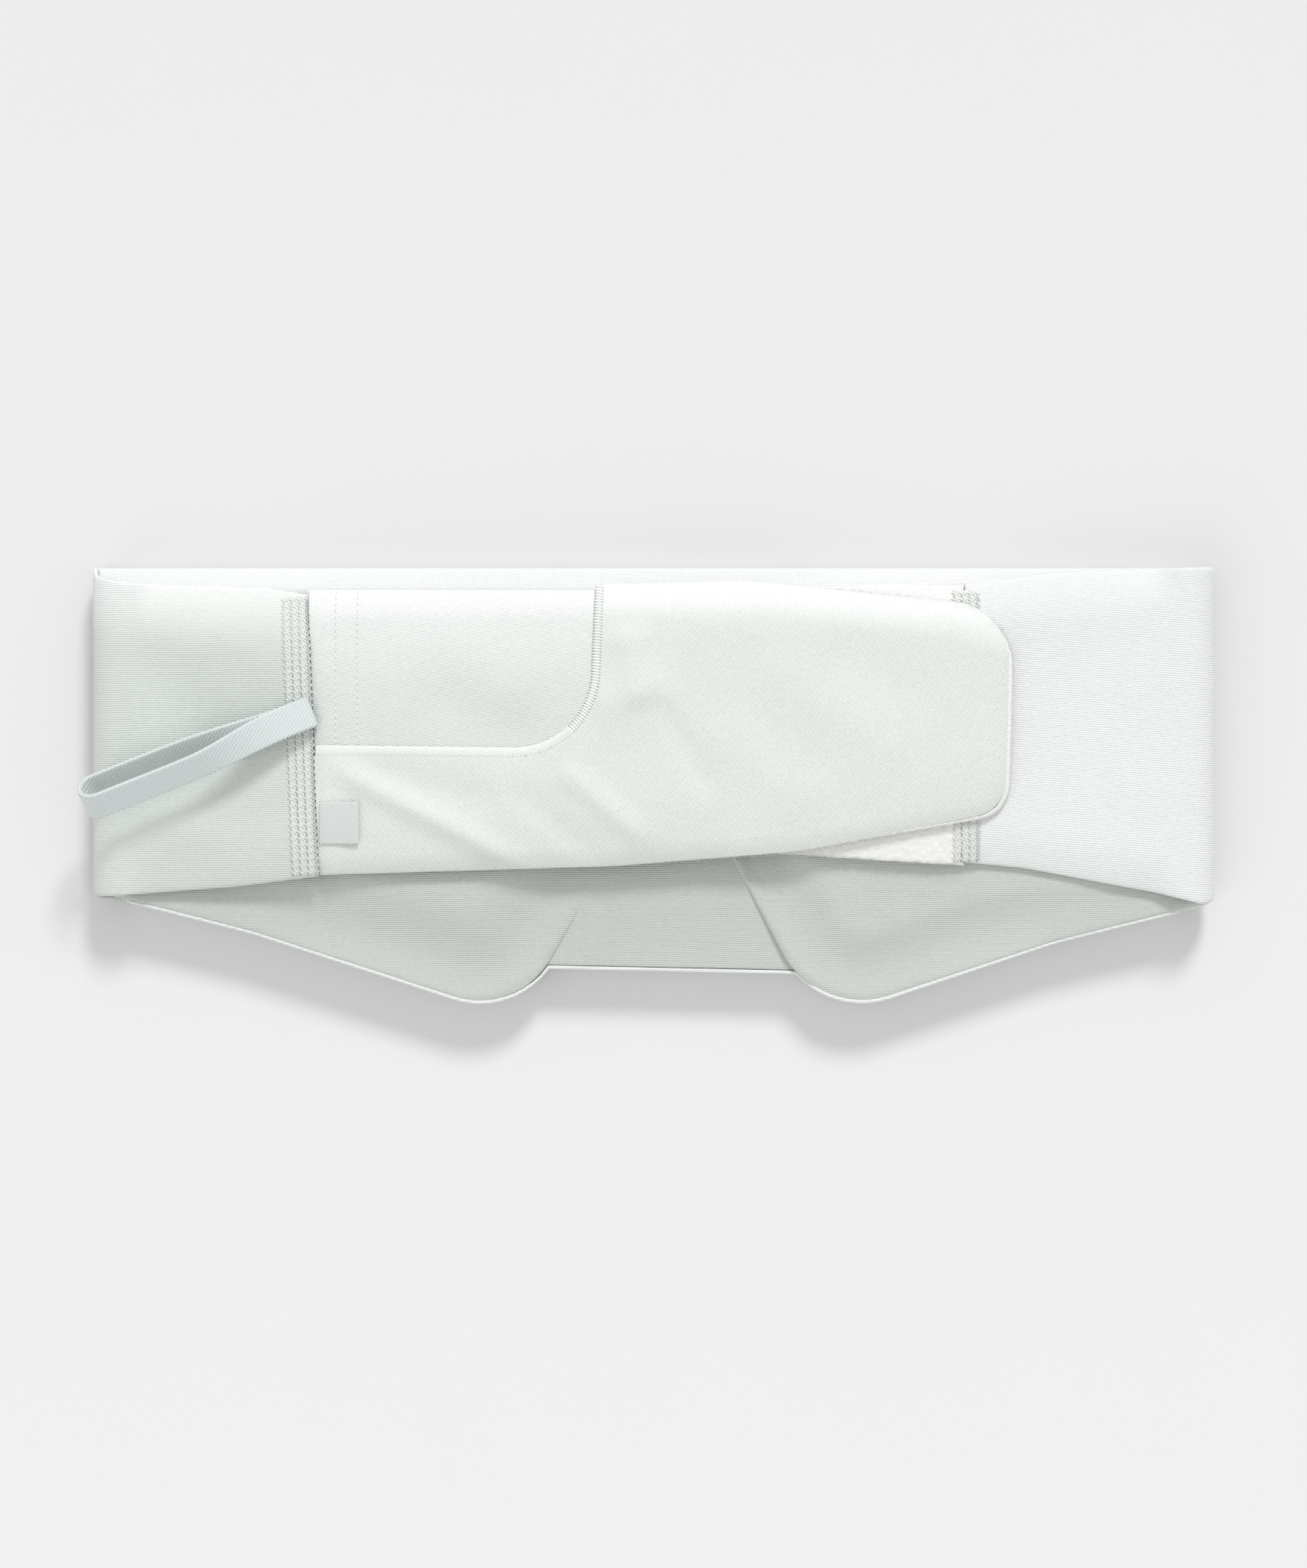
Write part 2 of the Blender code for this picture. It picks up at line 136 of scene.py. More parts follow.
# The left seam, a slightly slanted line
SEAM_FOOT = Vector((-82.6, -22.9)) * MM
SEAM_HEAD = Vector((-85.3, 47.1)) * MM
STRAP_RISE = 3.3 * MM           # how far the left strap climbs from its fold to the flap
DRAPE_RUN = 9 * MM              # how far from its fold a strap takes up its folds and hanging edges
RIGHT_SEAM_X = 77.5 * MM
RIGHT_SEAM_FOOT_Y = -19.4 * MM
RIGHT_SEAM_HEAD_Y = 49.6 * MM

# Cut edges
EDGE_RUN = 0.7                  # rounded stretch of a cut edge, as a share of the thickness
EDGE_RINGS = (0.12, 0.45)       # rings of vertices inside that stretch
EDGE_BLUNT = 0.25
ARC_STEPS = 10

# Stitches
STITCH = 1.65 * MM
ROW_PITCH = 1.95 * MM
ROWS = 4
THREAD_RADIUS = 0.16 * MM
TOPSTITCH_X = {"inner": -78.8, "outer": -73.5}      # in millimetres
TOPSTITCH_Y = (10.5, 47)

# Flatlock seams: heights over the strap's face, and shapes of the threads
HOLE_LIFT = 0.14 * MM
RUNG_LIFT = 0.16 * MM
STRAND_LIFT = 0.2 * MM
EDGE_LIFT = 0.22 * MM
BED_LIFT = -0.04 * MM
BED_HEIGHT = 0.3 * MM
RUNG_SPARE = 0.9 * MM           # how much wider a rung is than the outer rows
RUNG_WAVE = 0.25 * MM
RUNG_STEPS = 18
STRAND_SWING = (0.30 * MM, 0.22 * MM)   # a strand's mean distance from its channel's middle, and its change
STRAND_STEPS = 6                # to each stitch
EDGE_SWING = 0.8 * MM

# The flap, its label and its landing panel
FLAP_END_X = 89 * MM
PINCH_END_Y = 40 * MM           # the forehead edge isn't drawn together
LABEL_LIFT = 0.5 * MM           # at the label's free edge
LABEL_THICKNESS = 0.5 * MM
LANDING_FOOT = ((30, -17.3), (77.2, -20.2))     # lower edge of the landing panel, in millimetres
LANDING_EDGE_Z = 15.2 * MM
FLEECE_RIM = 1.2 * MM           # fleece that shows round the face of the flap
FLEECE_STEP = 0.35 * MM         # how far in from the rim it thins
FLEECE_THIN = 0.9 * MM          # its thickness under the face
POCKET_LIFT = 0.35 * MM         # the filled pocket pushes its bag up to the face
FLAP_TUCK = -0.4 * MM           # where the flap starts, from the line of the left seam

# Overlocked mouth of the pocket
MOUTH_WIDTH = 2.8 * MM
MOUTH_CORNER = (-14.8, 7.4, 20.5)

# Hanging loop
TAPE_WIDTH = 7.8 * MM
TAPE_THICKNESS = 1.1 * MM
LOOP_BASE = Vector((-87.0, 17.0)) * MM
LOOP_TIP = Vector((-137.2, -2.8)) * MM
LOOP_GAP = (0.85 * MM, 3.9 * MM)    # half the distance between its two strands, base and belly
LOOP_TILT = radians(39)             # how far the tape stands up at the belly
LOOP_TUCK = 0.6 * MM                # radius with which it turns down into the seam
LOOP_CLEARANCE = 1.0 * MM           # over the strap
LOOP_STEPS = 150
PICK_TURN = 1.9                     # of the weave's wave, in radians, from one step to the next

# Soft folds: start, end, half width and height in millimetres
FLAP_FOLDS = [
    ((-77, 3), (-34, -19.5), 3.0, 1.6),
    ((-70, 4), (-40, -6), 4.5, -0.7),
    ((-22, 3), (-2, -14), 3.2, 1.2),
    ((-34, -2), (-14, -18), 3.6, -0.7),
    ((-7, 38), (-3, 20), 4.5, 1.3),
    ((0, 22), (14, -1), 3.6, -0.7),
    ((-14, 19), (5, 23), 7.0, 1.0),
    ((-60, 40), (-30, 22), 9.0, 0.3),
    ((-56, 22), (-30, 11), 7.0, -0.8),
    ((28, 30), (60, 6), 8.0, 0.7),
    ((14, 14), (40, -6), 7.0, 0.6),
    ((44, 34), (70, 20), 8.0, -0.5),
]
STRAP_FOLDS = [
    ((-130, 34), (-108, 8), 9.0, -1.2),
    ((-112, 40), (-92, 30), 7.0, 0.6),
    ((-134, -4), (-104, -16), 7.0, 0.6),
    ((-120, -22), (-92, -6), 6.0, -0.5),
]

# Colours, linear
FACE_KNIT = (0.755, 0.775, 0.76)
# painted shade: the flap and pocket cloths are the face knit made darker, standing for the soft shade over
# the flap and in the pocket
FLAP_SHADED_KNIT = (0.71, 0.74, 0.71)
POCKET_SHADED_KNIT = (0.67, 0.70, 0.67)
# painted shade: the left strap is the face knit made darker, standing for the shade that falls on that
# strap
LEFT_STRAP_SHADED_KNIT = (0.62, 0.655, 0.62)
LINING_KNIT = (0.535, 0.572, 0.53)
FLEECE = (0.82, 0.82, 0.81)
TAPE_COLOR = (0.67, 0.72, 0.715)
THREAD_COLOR = (0.88, 0.90, 0.88)
SEAM_THREAD_COLOR = (0.80, 0.83, 0.80)
# needle holes: partly the dark needle thread sunk into the cloth, partly painted shade in the holes
HOLE_SHADE_COLOR = (0.24, 0.28, 0.25)
# painted shade in the dimples where the needle enters the cloth
DIMPLE_SHADE_COLOR = (0.42, 0.46, 0.43)
SATIN = (0.62, 0.655, 0.635)
FLOOR_COLOR = (0.72, 0.72, 0.72)
HIGHLIGHT_SHARE = 0.5                      # painted highlight: how far some cloths are lightened towards the forehead edge, where the light falls on them
# the pale tone of that painted highlight
PAINTED_HIGHLIGHT_COLOR = (0.9, 0.9, 0.9)


# ---------------------------------------------------------------- outlines

def rounded(corners, closed=True):
    """Points along an outline whose corners are (x, y, radius) in millimetres."""
    points = []
    last = len(corners) - 1
    for i, (x, y, radius) in enumerate(corners):
        corner = Vector((x, y))
        if radius == 0 or (not closed and i in (0, last)):
            points.append(corner)
            continue
        back = (Vector(corners[i - 1][:2]) - corner).normalized()
        onward = (Vector(corners[(i + 1) % len(corners)][:2]) - corner).normalized()
        half = back.angle(onward) / 2
        centre = corner + (back + onward).normalized() * radius / sin(half)
        first = corner + back * radius / tan(half) - centre
        final = corner + onward * radius / tan(half) - centre
        for step in range(ARC_STEPS + 1):
            spoke = first.slerp(final, step / ARC_STEPS).normalized()
            points.append(centre + spoke * radius)
    return [point * MM for point in points]


def inset(outline, distance):
    """The outline, counter-clockwise, moved inwards by a distance."""
    moved = []
    for i, point in enumerate(outline):
        arriving = (point - outline[i - 1]).normalized()
        leaving = (outline[(i + 1) % len(outline)] - point).normalized()
        inward = Vector((-arriving.y, arriving.x))
        middle = (inward + Vector((-leaving.y, leaving.x))).normalized()
        moved.append(point + middle * distance / middle.dot(inward))
    return moved


def evenly(points, spacing, closed=True):
    """Points at about one spacing along a line, with all of its own points kept."""
    made = []
    ends = points[1:] + points[:1] if closed else points[1:]
    for start, end in zip(points, ends):
        parts = max(1, round((end - start).length / spacing))
        made += [start.lerp(end, part / parts) for part in range(parts)]
    return made if closed else [*made, points[-1]]


def distance_to(points, line, closed):
    """How far each point is from a line, both as arrays or vectors in the plane."""
    line = np.array([tuple(p) for p in line])
    starts = line if closed else line[:-1]
    ends = np.roll(line, -1, axis=0) if closed else line[1:]
    along = ends - starts
    length = np.maximum((along ** 2).sum(1), 1e-18)
    nearest = np.full(len(points), np.inf)
    for start, step, square in zip(starts, along, length):
        share = np.clip((points - start) @ step / square, 0, 1)
        gap = points - start - share[:, None] * step
        nearest = np.minimum(nearest, np.hypot(gap[:, 0], gap[:, 1]))
    return nearest


def inside(points, outline):
    x, y = points[:, 0], points[:, 1]
    crossings = np.zeros(len(points), bool)
    for i, end in enumerate(outline):
        start = outline[i - 1]
        if start.y == end.y:
            continue
        spans = (start.y > y) != (end.y > y)
        crossings ^= spans & (x < start.x + (y - start.y) * (end.x - start.x) / (end.y - start.y))
    return crossings


def line_at(points):
    """The height y along a line of (x, y) points in millimetres, as a function of x in metres."""
    xs, ys = np.array(sorted(points)).T * MM
    return lambda x: np.interp(x, xs, ys)


def shoulder(distance, run, drop):
    """How far a surface has fallen at a distance in from its edge."""
    share = np.clip(1 - distance / run, 0, 1)
    return drop * share ** 2


def eased(share):
    share = np.clip(share, 0, 1)
    return share * share * (3 - 2 * share)


def ramp(place, stretch):
    """Runs from 0 to 1 over a stretch given in millimetres."""
    start, end = stretch
    return eased((place - start * MM) / ((end - start) * MM))


# ---------------------------------------------------------------- meshes

def new_piece(name, points, faces, material):
    mesh = bpy.data.meshes.new(name)
    mesh.from_pydata([tuple(p) for p in points], [], faces)
    mesh.polygons.foreach_set("use_smooth", [True] * len(mesh.polygons))
    mesh.materials.append(material)
    obj = bpy.data.objects.new(name, mesh)
    bpy.context.scene.collection.objects.link(obj)
    return obj


def fill_grid(outline, spacing, margin):
    """Points on a staggered grid inside the outline and a margin away from it."""
    low = np.min([tuple(p) for p in outline], axis=0)
    high = np.max([tuple(p) for p in outline], axis=0)
    step = spacing * sin(radians(60))
    rows = np.arange(low[1] + step / 2, high[1], step)
    points = []
    for i, y in enumerate(rows):
        shift = spacing / 2 if i % 2 else 0
        xs = np.arange(low[0] + shift, high[0], spacing)
        points.append(np.column_stack([xs, np.full(len(xs), y)]))
    points = np.concatenate(points)
    points = points[inside(points, outline)]
    return points[distance_to(points, outline, True) > margin]


def cloth(
    name, outline, low, high, material, spacing=1.5 * MM, free=None, bend=None, run=None, rings=(),
    blunt=EDGE_BLUNT, frayed=0.0,
):
    """A closed piece of cloth cut to an outline, between two heights that vary over it.

    Its cut edges are rounded over a run, all round or only along the line called free.  Extra rings
    of points at some distances in from the edge carry a profile that changes quickly there.
    """
    run = run or EDGE_RUN * abs(float(np.mean(high(0.0, 0.0) - low(0.0, 0.0))))
    edge = evenly(outline, spacing)
    if frayed:
        chance = random.Random(name)
        edge = [p + Vector((chance.uniform(-1, 1), chance.uniform(-1, 1))) * frayed for p in edge]
    insets = [share * run for share in (*EDGE_RINGS, 1.0)] + list(rings)
    loops = [edge] + [inset(edge, distance) for distance in insets]
    flat = np.array([tuple(p) for loop in loops for p in loop])
    grid = fill_grid(edge, spacing, max(insets) + 0.5 * spacing)
    flat = np.concatenate([flat, grid])
    ring = [(i, (i + 1) % len(edge)) for i in range(len(edge))]
    spots = [Vector(p) for p in flat]
    made = delaunay_2d_cdt(spots, ring, [], 1, 1e-8)
    flat = np.array([tuple(p) for p in made[0]])
    triangles = [tuple(face) for face in made[2]]
    x, y = flat.T
    depth = distance_to(flat, free or edge, free is None)
    top, bottom = high(x, y), low(x, y)
    bulge = np.sqrt(1 - (1 - np.clip(depth / run, 0, 1)) ** 2)
    half = (top - bottom) / 2 * (blunt + (1 - blunt) * bulge)
    middle = (top + bottom) / 2
    upper = np.column_stack([x, y, middle + half])
    lower = np.column_stack([x, y, middle - half])
    points = np.concatenate([upper, lower])
    if bend:
        points = bend(points)
    count = len(flat)
    sides = {(face[i], face[(i + 1) % 3]) for face in triangles for i in range(3)}
    border = sorted((a, b) for a, b in sides if (b, a) not in sides)
    faces = list(triangles)
    faces += [(c + count, b + count, a + count) for a, b, c in triangles]
    faces += [(b, a, a + count, b + count) for a, b in border]
    return new_piece(name, points, faces, material)


def sleeve(start, rows, sides):
    """Faces of a closed tube, whose rings of points follow each other from a start."""
    faces = []
    for first in range(start, start + (rows - 1) * sides, sides):
        for side in range(sides):
            a, b = first + side, first + (side + 1) % sides
            faces.append((a, a + sides, b + sides, b))
    last = start + (rows - 1) * sides
    return [*faces, tuple(range(start, start + sides)), tuple(reversed(range(last, last + sides)))]


def tubes(name, paths, radius, material, sides=6):
    """Closed tubes along paths, tapered at their ends, as one object."""
    points, faces = [], []
    up = Vector((0, 0, 1))
    for path in paths:
        faces += sleeve(len(points), len(path), sides)
        count = len(path)
        for i, place in enumerate(path):
            along = (path[min(i + 1, count - 1)] - path[max(i - 1, 0)]).normalized()
            across = along.cross(up).normalized()
            over = across.cross(along)
            size = radius * (0.55 if i in (0, count - 1) else 1.0)
            for side in range(sides):
                angle = 2 * pi * side / sides
                points.append(place + (across * cos(angle) + over * sin(angle)) * size)
    return new_piece(name, points, faces, material)


def ribbon(name, spine, height, material, sides=8):
    """A low rounded bar along a spine of (place, direction across, half width)."""
    points = []
    for place, across, half in spine:
        for side in range(sides):
            angle = 2 * pi * side / sides
            flat = place + across.to_3d() * cos(angle) * (half - 0.25 * MM)
            points.append(flat + Vector((0, 0, sin(angle) * height / 2)))
    return new_piece(name, points, sleeve(0, len(spine), sides), material)


def fibres(name, roots, directions, length, radius, material, seed):
    """Fine cones that stand on roots, each with its own length and lean."""
    chance = random.Random(seed)
    points, faces = [], []
    for root, direction in zip(roots, directions):
        lean = Vector([chance.uniform(-1, 1) for _ in range(3)]) * 0.7
        tip = root + (direction + lean).normalized() * length * chance.uniform(0.4, 1.0)
        side = (tip - root).orthogonal().normalized()
        other = side.cross((tip - root).normalized())
        start = len(points)
        for k in range(3):
            angle = 2 * pi * k / 3
            points.append(root + (side * cos(angle) + other * sin(angle)) * radius)
        points.append(tip)
        faces += [(start, start + 2, start + 1)]
        faces += [(start + k, start + (k + 1) % 3, start + 3) for k in range(3)]
    return new_piece(name, points, faces, material)


# ---------------------------------------------------------------- materials

def add_node(tree, kind, inputs=None, **settings):
    made = tree.nodes.new("ShaderNode" + kind)
    for key, value in settings.items():
        setattr(made, key, value)
    for key, value in (inputs or {}).items():
        if isinstance(value, bpy.types.NodeSocket):
            tree.links.new(value, made.inputs[key])
        else:
            made.inputs[key].default_value = value
    return made


def weighted(tree, total, *layers):
    """A value with others added to it, each times its own weight."""
    for layer, weight in layers:
        total = add_node(tree, "Math", {0: layer, 1: weight, 2: total}, operation="MULTIPLY_ADD").outputs[0]
    return total


def new_material(name, roughness, sheen=0.0):
    material = bpy.data.materials.new(name)
    material.use_nodes = True
    tree = material.node_tree
    shader = tree.nodes["Principled BSDF"]
    shader.inputs["Roughness"].default_value = roughness
    shader.inputs["Sheen Weight"].default_value = sheen
    shader.inputs["Sheen Roughness"].default_value = 0.6
    shader.inputs["Specular IOR Level"].default_value = 0.25
    return material, tree, shader


def object_point(tree, angle=0.0, stretch=(1, 1, 1), wobble=0.0):
    """The object coordinate turned about Z, with a slow wobble."""
    where = add_node(tree, "TexCoord").outputs["Object"]
    if wobble:
        slow = add_node(tree, "TexNoise", {"Vector": where, "Scale": 45.0, "Detail": 1.0})
        push = add_node(tree, "VectorMath", {0: slow.outputs["Color"], "Scale": wobble}, operation="SCALE")
        where = add_node(tree, "VectorMath", {0: where, 1: push.outputs[0]}).outputs[0]
    turned = {"Vector": where, "Rotation": (0, 0, -angle), "Scale": stretch}
    return add_node(tree, "Mapping", turned).outputs[0]


def waves(tree, vector, pitch, direction="Y"):
    """Bands of a real pitch in metres.  Blender's bands repeat every 2 pi / 20 units."""
    inputs = {"Vector": vector, "Scale": 2 * pi / 20 / pitch, "Distortion": 0.0}
    looks = {"wave_type": "BANDS", "bands_direction": direction, "wave_profile": "SIN"}
    return add_node(tree, "TexWave", inputs, **looks).outputs["Fac"]


def noise(tree, vector, scale, detail=2.0):
    made = add_node(tree, "TexNoise", {"Vector": vector, "Scale": scale, "Detail": detail})
    return made.outputs["Fac"]


def shade(tree, shader, color, amount, dark=0.8):
    """Runs the base colour from a darker tone to the full one with a 0..1 amount."""
    low = (*[c * dark for c in color], 1)
    mixed = add_node(tree, "Mix", {"Factor": amount, "A": low, "B": (*color, 1)}, data_type="RGBA")
    tree.links.new(mixed.outputs["Result"], shader.inputs["Base Color"])


def paint_forehead_highlight(tree, shader, heights):
    """Paints a highlight: fades the base colour towards a pale tone between two heights along Y, standing
    for the light that falls on the forehead edge.
    """
    place = add_node(tree, "TexCoord").outputs["Object"]
    forward = add_node(tree, "SeparateXYZ", {"Vector": place}).outputs["Y"]
    start, end = heights
    inputs = {"Value": forward, "From Min": start * MM, "From Max": end * MM, "To Max": HIGHLIGHT_SHARE}
    share = add_node(tree, "MapRange", inputs, interpolation_type="SMOOTHSTEP").outputs["Result"]
    base = shader.inputs["Base Color"].links[0].from_socket
    mixed = add_node(tree, "Mix", {"Factor": share, "B": (*PAINTED_HIGHLIGHT_COLOR, 1)}, data_type="RGBA")
    tree.links.new(base, mixed.inputs["A"])
    tree.links.new(mixed.outputs["Result"], shader.inputs["Base Color"])


def bump(tree, shader, height, distance):
    made = add_node(tree, "Bump", {"Height": height, "Distance": distance, "Strength": 1.0})
    tree.links.new(made.outputs[0], shader.inputs["Normal"])


def knit(name, color, pitch=0.55 * MM, angle=0.0, highlight_span=None):
    """Fine ribbed jersey: ribs, the stitches along each rib, and loose surface fibre.

    Where a span of two heights along Y is given, a painted highlight makes the cloth lighter towards the
    second, standing for the light that falls on the forehead edge.
    """
    material, tree, shader = new_material(name, 0.92, 0.1)
    where = object_point(tree, angle, wobble=0.9 * MM)
    ribs = waves(tree, where, pitch)
    columns = waves(tree, where, 0.75 * MM, "X")
    along = add_node(tree, "Mapping", {"Vector": where, "Scale": (0.5, 1.5, 1.0)}).outputs[0]
    loops = noise(tree, along, 2600.0, 1.0)
    fuzz = noise(tree, where, 7000.0, 2.0)
    mottle = noise(tree, where, 900.0, 3.0)
    cloudy = noise(tree, where, 30.0, 3.0)
    height = weighted(tree, ribs, (loops, 0.8), (columns, 0.25), (fuzz, 0.4), (mottle, 1.2))
    bump(tree, shader, height, 0.09 * MM)
    shares = ((ribs, 0.25), (columns, 0.1), (loops, 0.4), (mottle, 0.5), (cloudy, 0.4))
    shade(tree, shader, color, weighted(tree, 0.0, *shares), 0.88)
    # painted highlight towards the forehead edge, where the light falls
    if highlight_span:
        paint_forehead_highlight(tree, shader, highlight_span)
    return material


def brushed(name, color):
    """White fleece or pile: soft lumps and fine fibre."""
    material, tree, shader = new_material(name, 0.97, 0.3)
    where = object_point(tree)
    lumps = noise(tree, where, 1300.0, 3.0)
    hair = noise(tree, where, 5200.0, 2.0)
    height = weighted(tree, lumps, (hair, 0.5))
    bump(tree, shader, height, 0.22 * MM)
    shade(tree, shader, color, height, 0.92)
    return material


def twill(name, color, pitch, angle, depth, roughness=0.7):
    """Diagonal twill lines crossed by the picks."""
    material, tree, shader = new_material(name, roughness, 0.1)
    where = object_point(tree, angle)
    lines = waves(tree, where, pitch)
    picks = waves(tree, where, pitch * 0.8, "X")
    grain = noise(tree, where, 3600.0, 2.0)
    height = weighted(tree, lines, (picks, 0.45), (grain, 0.5))
    bump(tree, shader, height, depth)
    shade(tree, shader, color, weighted(tree, 0.0, (height, 0.6)), 0.84)
    return material


def thread(name, color, roughness=0.6):
    """Spun thread: fine twist lines and a little fluff."""
    material, tree, shader = new_material(name, roughness, 0.2)
    where = object_point(tree, radians(35))
    ply = waves(tree, where, 0.28 * MM)
    fluff = noise(tree, where, 4000.0, 2.0)
    height = weighted(tree, ply, (fluff, 0.6))
    bump(tree, shader, height, 0.05 * MM)
    shade(tree, shader, color, weighted(tree, 0.0, (height, 0.7)), 0.85)
    return material


def plain_grain(name, color, roughness):
    """Moulded or coated surface with a fine grain."""
    material, tree, shader = new_material(name, roughness)
    where = object_point(tree)
    grain = noise(tree, where, 1400.0, 3.0)
    bump(tree, shader, grain, 0.06 * MM)
    shade(tree, shader, color, grain, 0.9)
    return material


# ---------------------------------------------------------------- heights

def z_range(node):
    low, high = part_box(node)
    return low.z, high.z


def over(drape, node):
    """Lower and upper height functions that follow a drape at a node's own heights."""
    low, high = z_range(node)
    return (lambda x, y: low + drape(x, y)), (lambda x, y: high + drape(x, y))


def level(x, y):
    return 0 * x


LEFT_TOP = line_at([(-139, 51.4), (-127.3, 49.8), (-97.5, 48.8), (-85.4, 47.1)])
RIGHT_TOP = line_at([(30, 49.4), (77.5, 50), (81.2, 50.2), (93.7, 51.8), (113.9, 53.3), (140, 54)])
FLAP_TOP = line_at([(-85, 49.0), (-43.9, 49.6), (24.5, 50.3), (74.2, 44.9), (89, 40)])
FLAP_FOOT = line_at([(-82, -22.8), (-9.8, -20.4), (37.2, -17.0), (72.4, -10.6), (89, -6)])
LEFT_FOOT = line_at([(-140, -28.1), (-122.4, -27.0), (-103.3, -25.5), (-88.6, -23.8), (-82, -22.9)])
RIGHT_FOOT = line_at([(30, -17.3), (74, -19.4), (91.7, -20.7), (109.4, -23.8), (125.2, -27.1), (138, -30)])


def left_drape(x, y):
    """How far the left strap stands above its height at the fold."""
    climb = np.maximum(x + PANEL_END, 0) * STRAP_RISE / (PANEL_END + SEAM_FOOT.x)
    near = eased((x + FOLD_CENTRE) / DRAPE_RUN)
    head = shoulder(LEFT_TOP(x) - y, *LEFT_HEAD_ROLL)
    foot = shoulder(y - LEFT_FOOT(x), *LEFT_FOOT_ROLL)
    return climb + near * (soft_folds(x, y, STRAP_FOLDS) - head - foot)


def right_drape(x, y):
    """How far the right strap's edges hang below its flat top."""
    near = eased((FOLD_CENTRE - x) / DRAPE_RUN)
    head = shoulder(RIGHT_TOP(x) - y, *RIGHT_HEAD_ROLL)
    foot = shoulder(y - RIGHT_FOOT(x), *RIGHT_FOOT_ROLL) * (0.35 + 0.65 * ramp(x, SEAM_SIDE))
    return -near * (head + foot)


def strap_top(drape):
    """The upper face of a strap, as a height over x and y."""
    return lambda x, y: BAND_TOP + drape(x, y)


def soft_folds(x, y, folds):
    """Rounded ridges and hollows, each along its own line and fading out at both ends."""
    height = 0.0
    for start, end, width, rise in folds:
        start = np.array(start) * MM
        along = np.array(end) * MM - start
        length = np.hypot(*along)
        along = along / length
        share = ((x - start[0]) * along[0] + (y - start[1]) * along[1]) / length
        side = (y - start[1]) * along[0] - (x - start[0]) * along[1]
        fade = eased(share * 3 + 0.5) * eased((1 - share) * 3 + 0.5)
        height = height + rise * MM * fade * np.exp(-((side / (width * MM)) ** 2))
    return height


def flap_drape(x, y):
    """Soft folds of the flap and its rounded edges."""
    x = np.asarray(x, float)
    y = np.asarray(y, float)
    head = shoulder(FLAP_TOP(x) - y, *FLAP_HEAD_ROLL)
    foot = shoulder(y - FLAP_FOOT(x), *FLAP_FOOT_ROLL) * (1 + 0.6 * ramp(x, FLAP_SEAM_SIDE))
    end = shoulder(FLAP_END_X - x, *FLAP_END_ROLL)
    start = shoulder(x - seam_x(y, FLAP_TUCK), *FLAP_SEAM_ROLL)
    return soft_folds(x, y, FLAP_FOLDS) - head - foot - end - start


def seam_x(y, offset=0.0):
    share = (y - SEAM_FOOT.y) / (SEAM_HEAD.y - SEAM_FOOT.y)
    return SEAM_FOOT.x + share * (SEAM_HEAD.x - SEAM_FOOT.x) + offset


def fold_over(side):
    """Bends a flat band round the fold on one side."""
    middle = BAND_TOP - BAND_THICKNESS / 2

    def bend(points):
        beyond = np.maximum(side * points[:, 0] - FOLD_CENTRE, 0)
        radius = FOLD_RADIUS + points[:, 2] - BAND_TOP
        neutral = FOLD_RADIUS + middle - BAND_TOP
        angle = np.minimum(beyond / neutral, pi)
        past = beyond - angle * neutral
        flat = np.minimum(side * points[:, 0], FOLD_CENTRE)
        x = np.where(beyond > 0, FOLD_CENTRE + radius * np.sin(angle) - past, flat)
        z = np.where(beyond > 0, FOLD_RADIUS + radius * np.cos(angle), points[:, 2])
        return np.column_stack([side * x, points[:, 1], z])

    return bend


# ---------------------------------------------------------------- pieces

def assign(obj, slot, body, *nodes):
    """Attaches a piece to its body and hides the nodes that it stands for, if any; the slot is not used."""
    if nodes:
        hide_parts(*nodes)
    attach(obj, body)


SHELL_CORNERS = [
    (-131.3, -29.5, 0), (-100, -37.5, 60), (-35.3, -58.6, 21.4), (-26.0, -46.2, 0), (35.4, -47.5, 0),
    (45.3, -58.2, 22.4), (100, -39.9, 60), (131.3, -32.1, 0), (131.3, 54, 0), (-131.3, 54, 0),
]


def nose_lift(x, y):
    """The nose panel stands up between the lobes, and comes down again under the straps."""
    edge, more = NOSE_LIFT
    along = (edge + more * ramp(y, NOSE_FRONT)) * ramp(y, NOSE_BACK)
    return along * ramp(x, NOSE_LEFT) * ramp(x, NOSE_RIGHT)


def rim_height(x, y):
    """How high the face knit stands up at the edge of the panel."""
    lobes = LOBE_RIM_Z + (FOLD_RIM_Z - LOBE_RIM_Z) * ramp(abs(x), RIM_ENDS)
    beside_nose = min(ramp(x, RIM_NOSE_LEFT), ramp(x, RIM_NOSE_RIGHT))
    rim = lobes + (NOSE_RIM_Z - lobes) * beside_nose
    hidden = max(ramp(y, RIM_BACK), ramp(abs(x), RIM_CORNERS))
    return rim + (HIDDEN_RIM_Z - rim) * hidden


def build_shell(cloths):
    """The outer face of the panel, with its edge turned up into a thin rim round the lobes."""
    edge = evenly(rounded(SHELL_CORNERS), 1.5 * MM)
    wall = RIM_WALL / MM
    # (inset, share of the rim's height, height added), all in millimetres
    profile = [
        (1.6, 0, 0.0), (0.4, 0, 0.0), (0.08, 0, 0.25), (0.0, 0, 0.6), (0.0, 1, -0.5), (0.12, 1, -0.15),
        (wall / 2, 1, 0.0), (wall - 0.12, 1, -0.15), (wall, 1, -0.5), (wall, 0, 1.4), (wall + 0.5, 0, 1.2),
    ]
    points, faces = [], []
    for distance, share, added in profile:
        for point in inset(edge, distance * MM):
            z = share * float(rim_height(point.x, point.y)) + added * MM
            points.append((point.x, point.y, z))
    count = len(edge)
    for ring in range(len(profile) - 1):
        for i in range(count):
            a, b = ring * count + i, ring * count + (i + 1) % count
            faces.append((a, b, b + count, a + count))
    faces.append(tuple(reversed(range(count))))
    faces.append(tuple(range((len(profile) - 1) * count, len(profile) * count)))
    return new_piece("panel_shell", points, faces, cloths["face"])


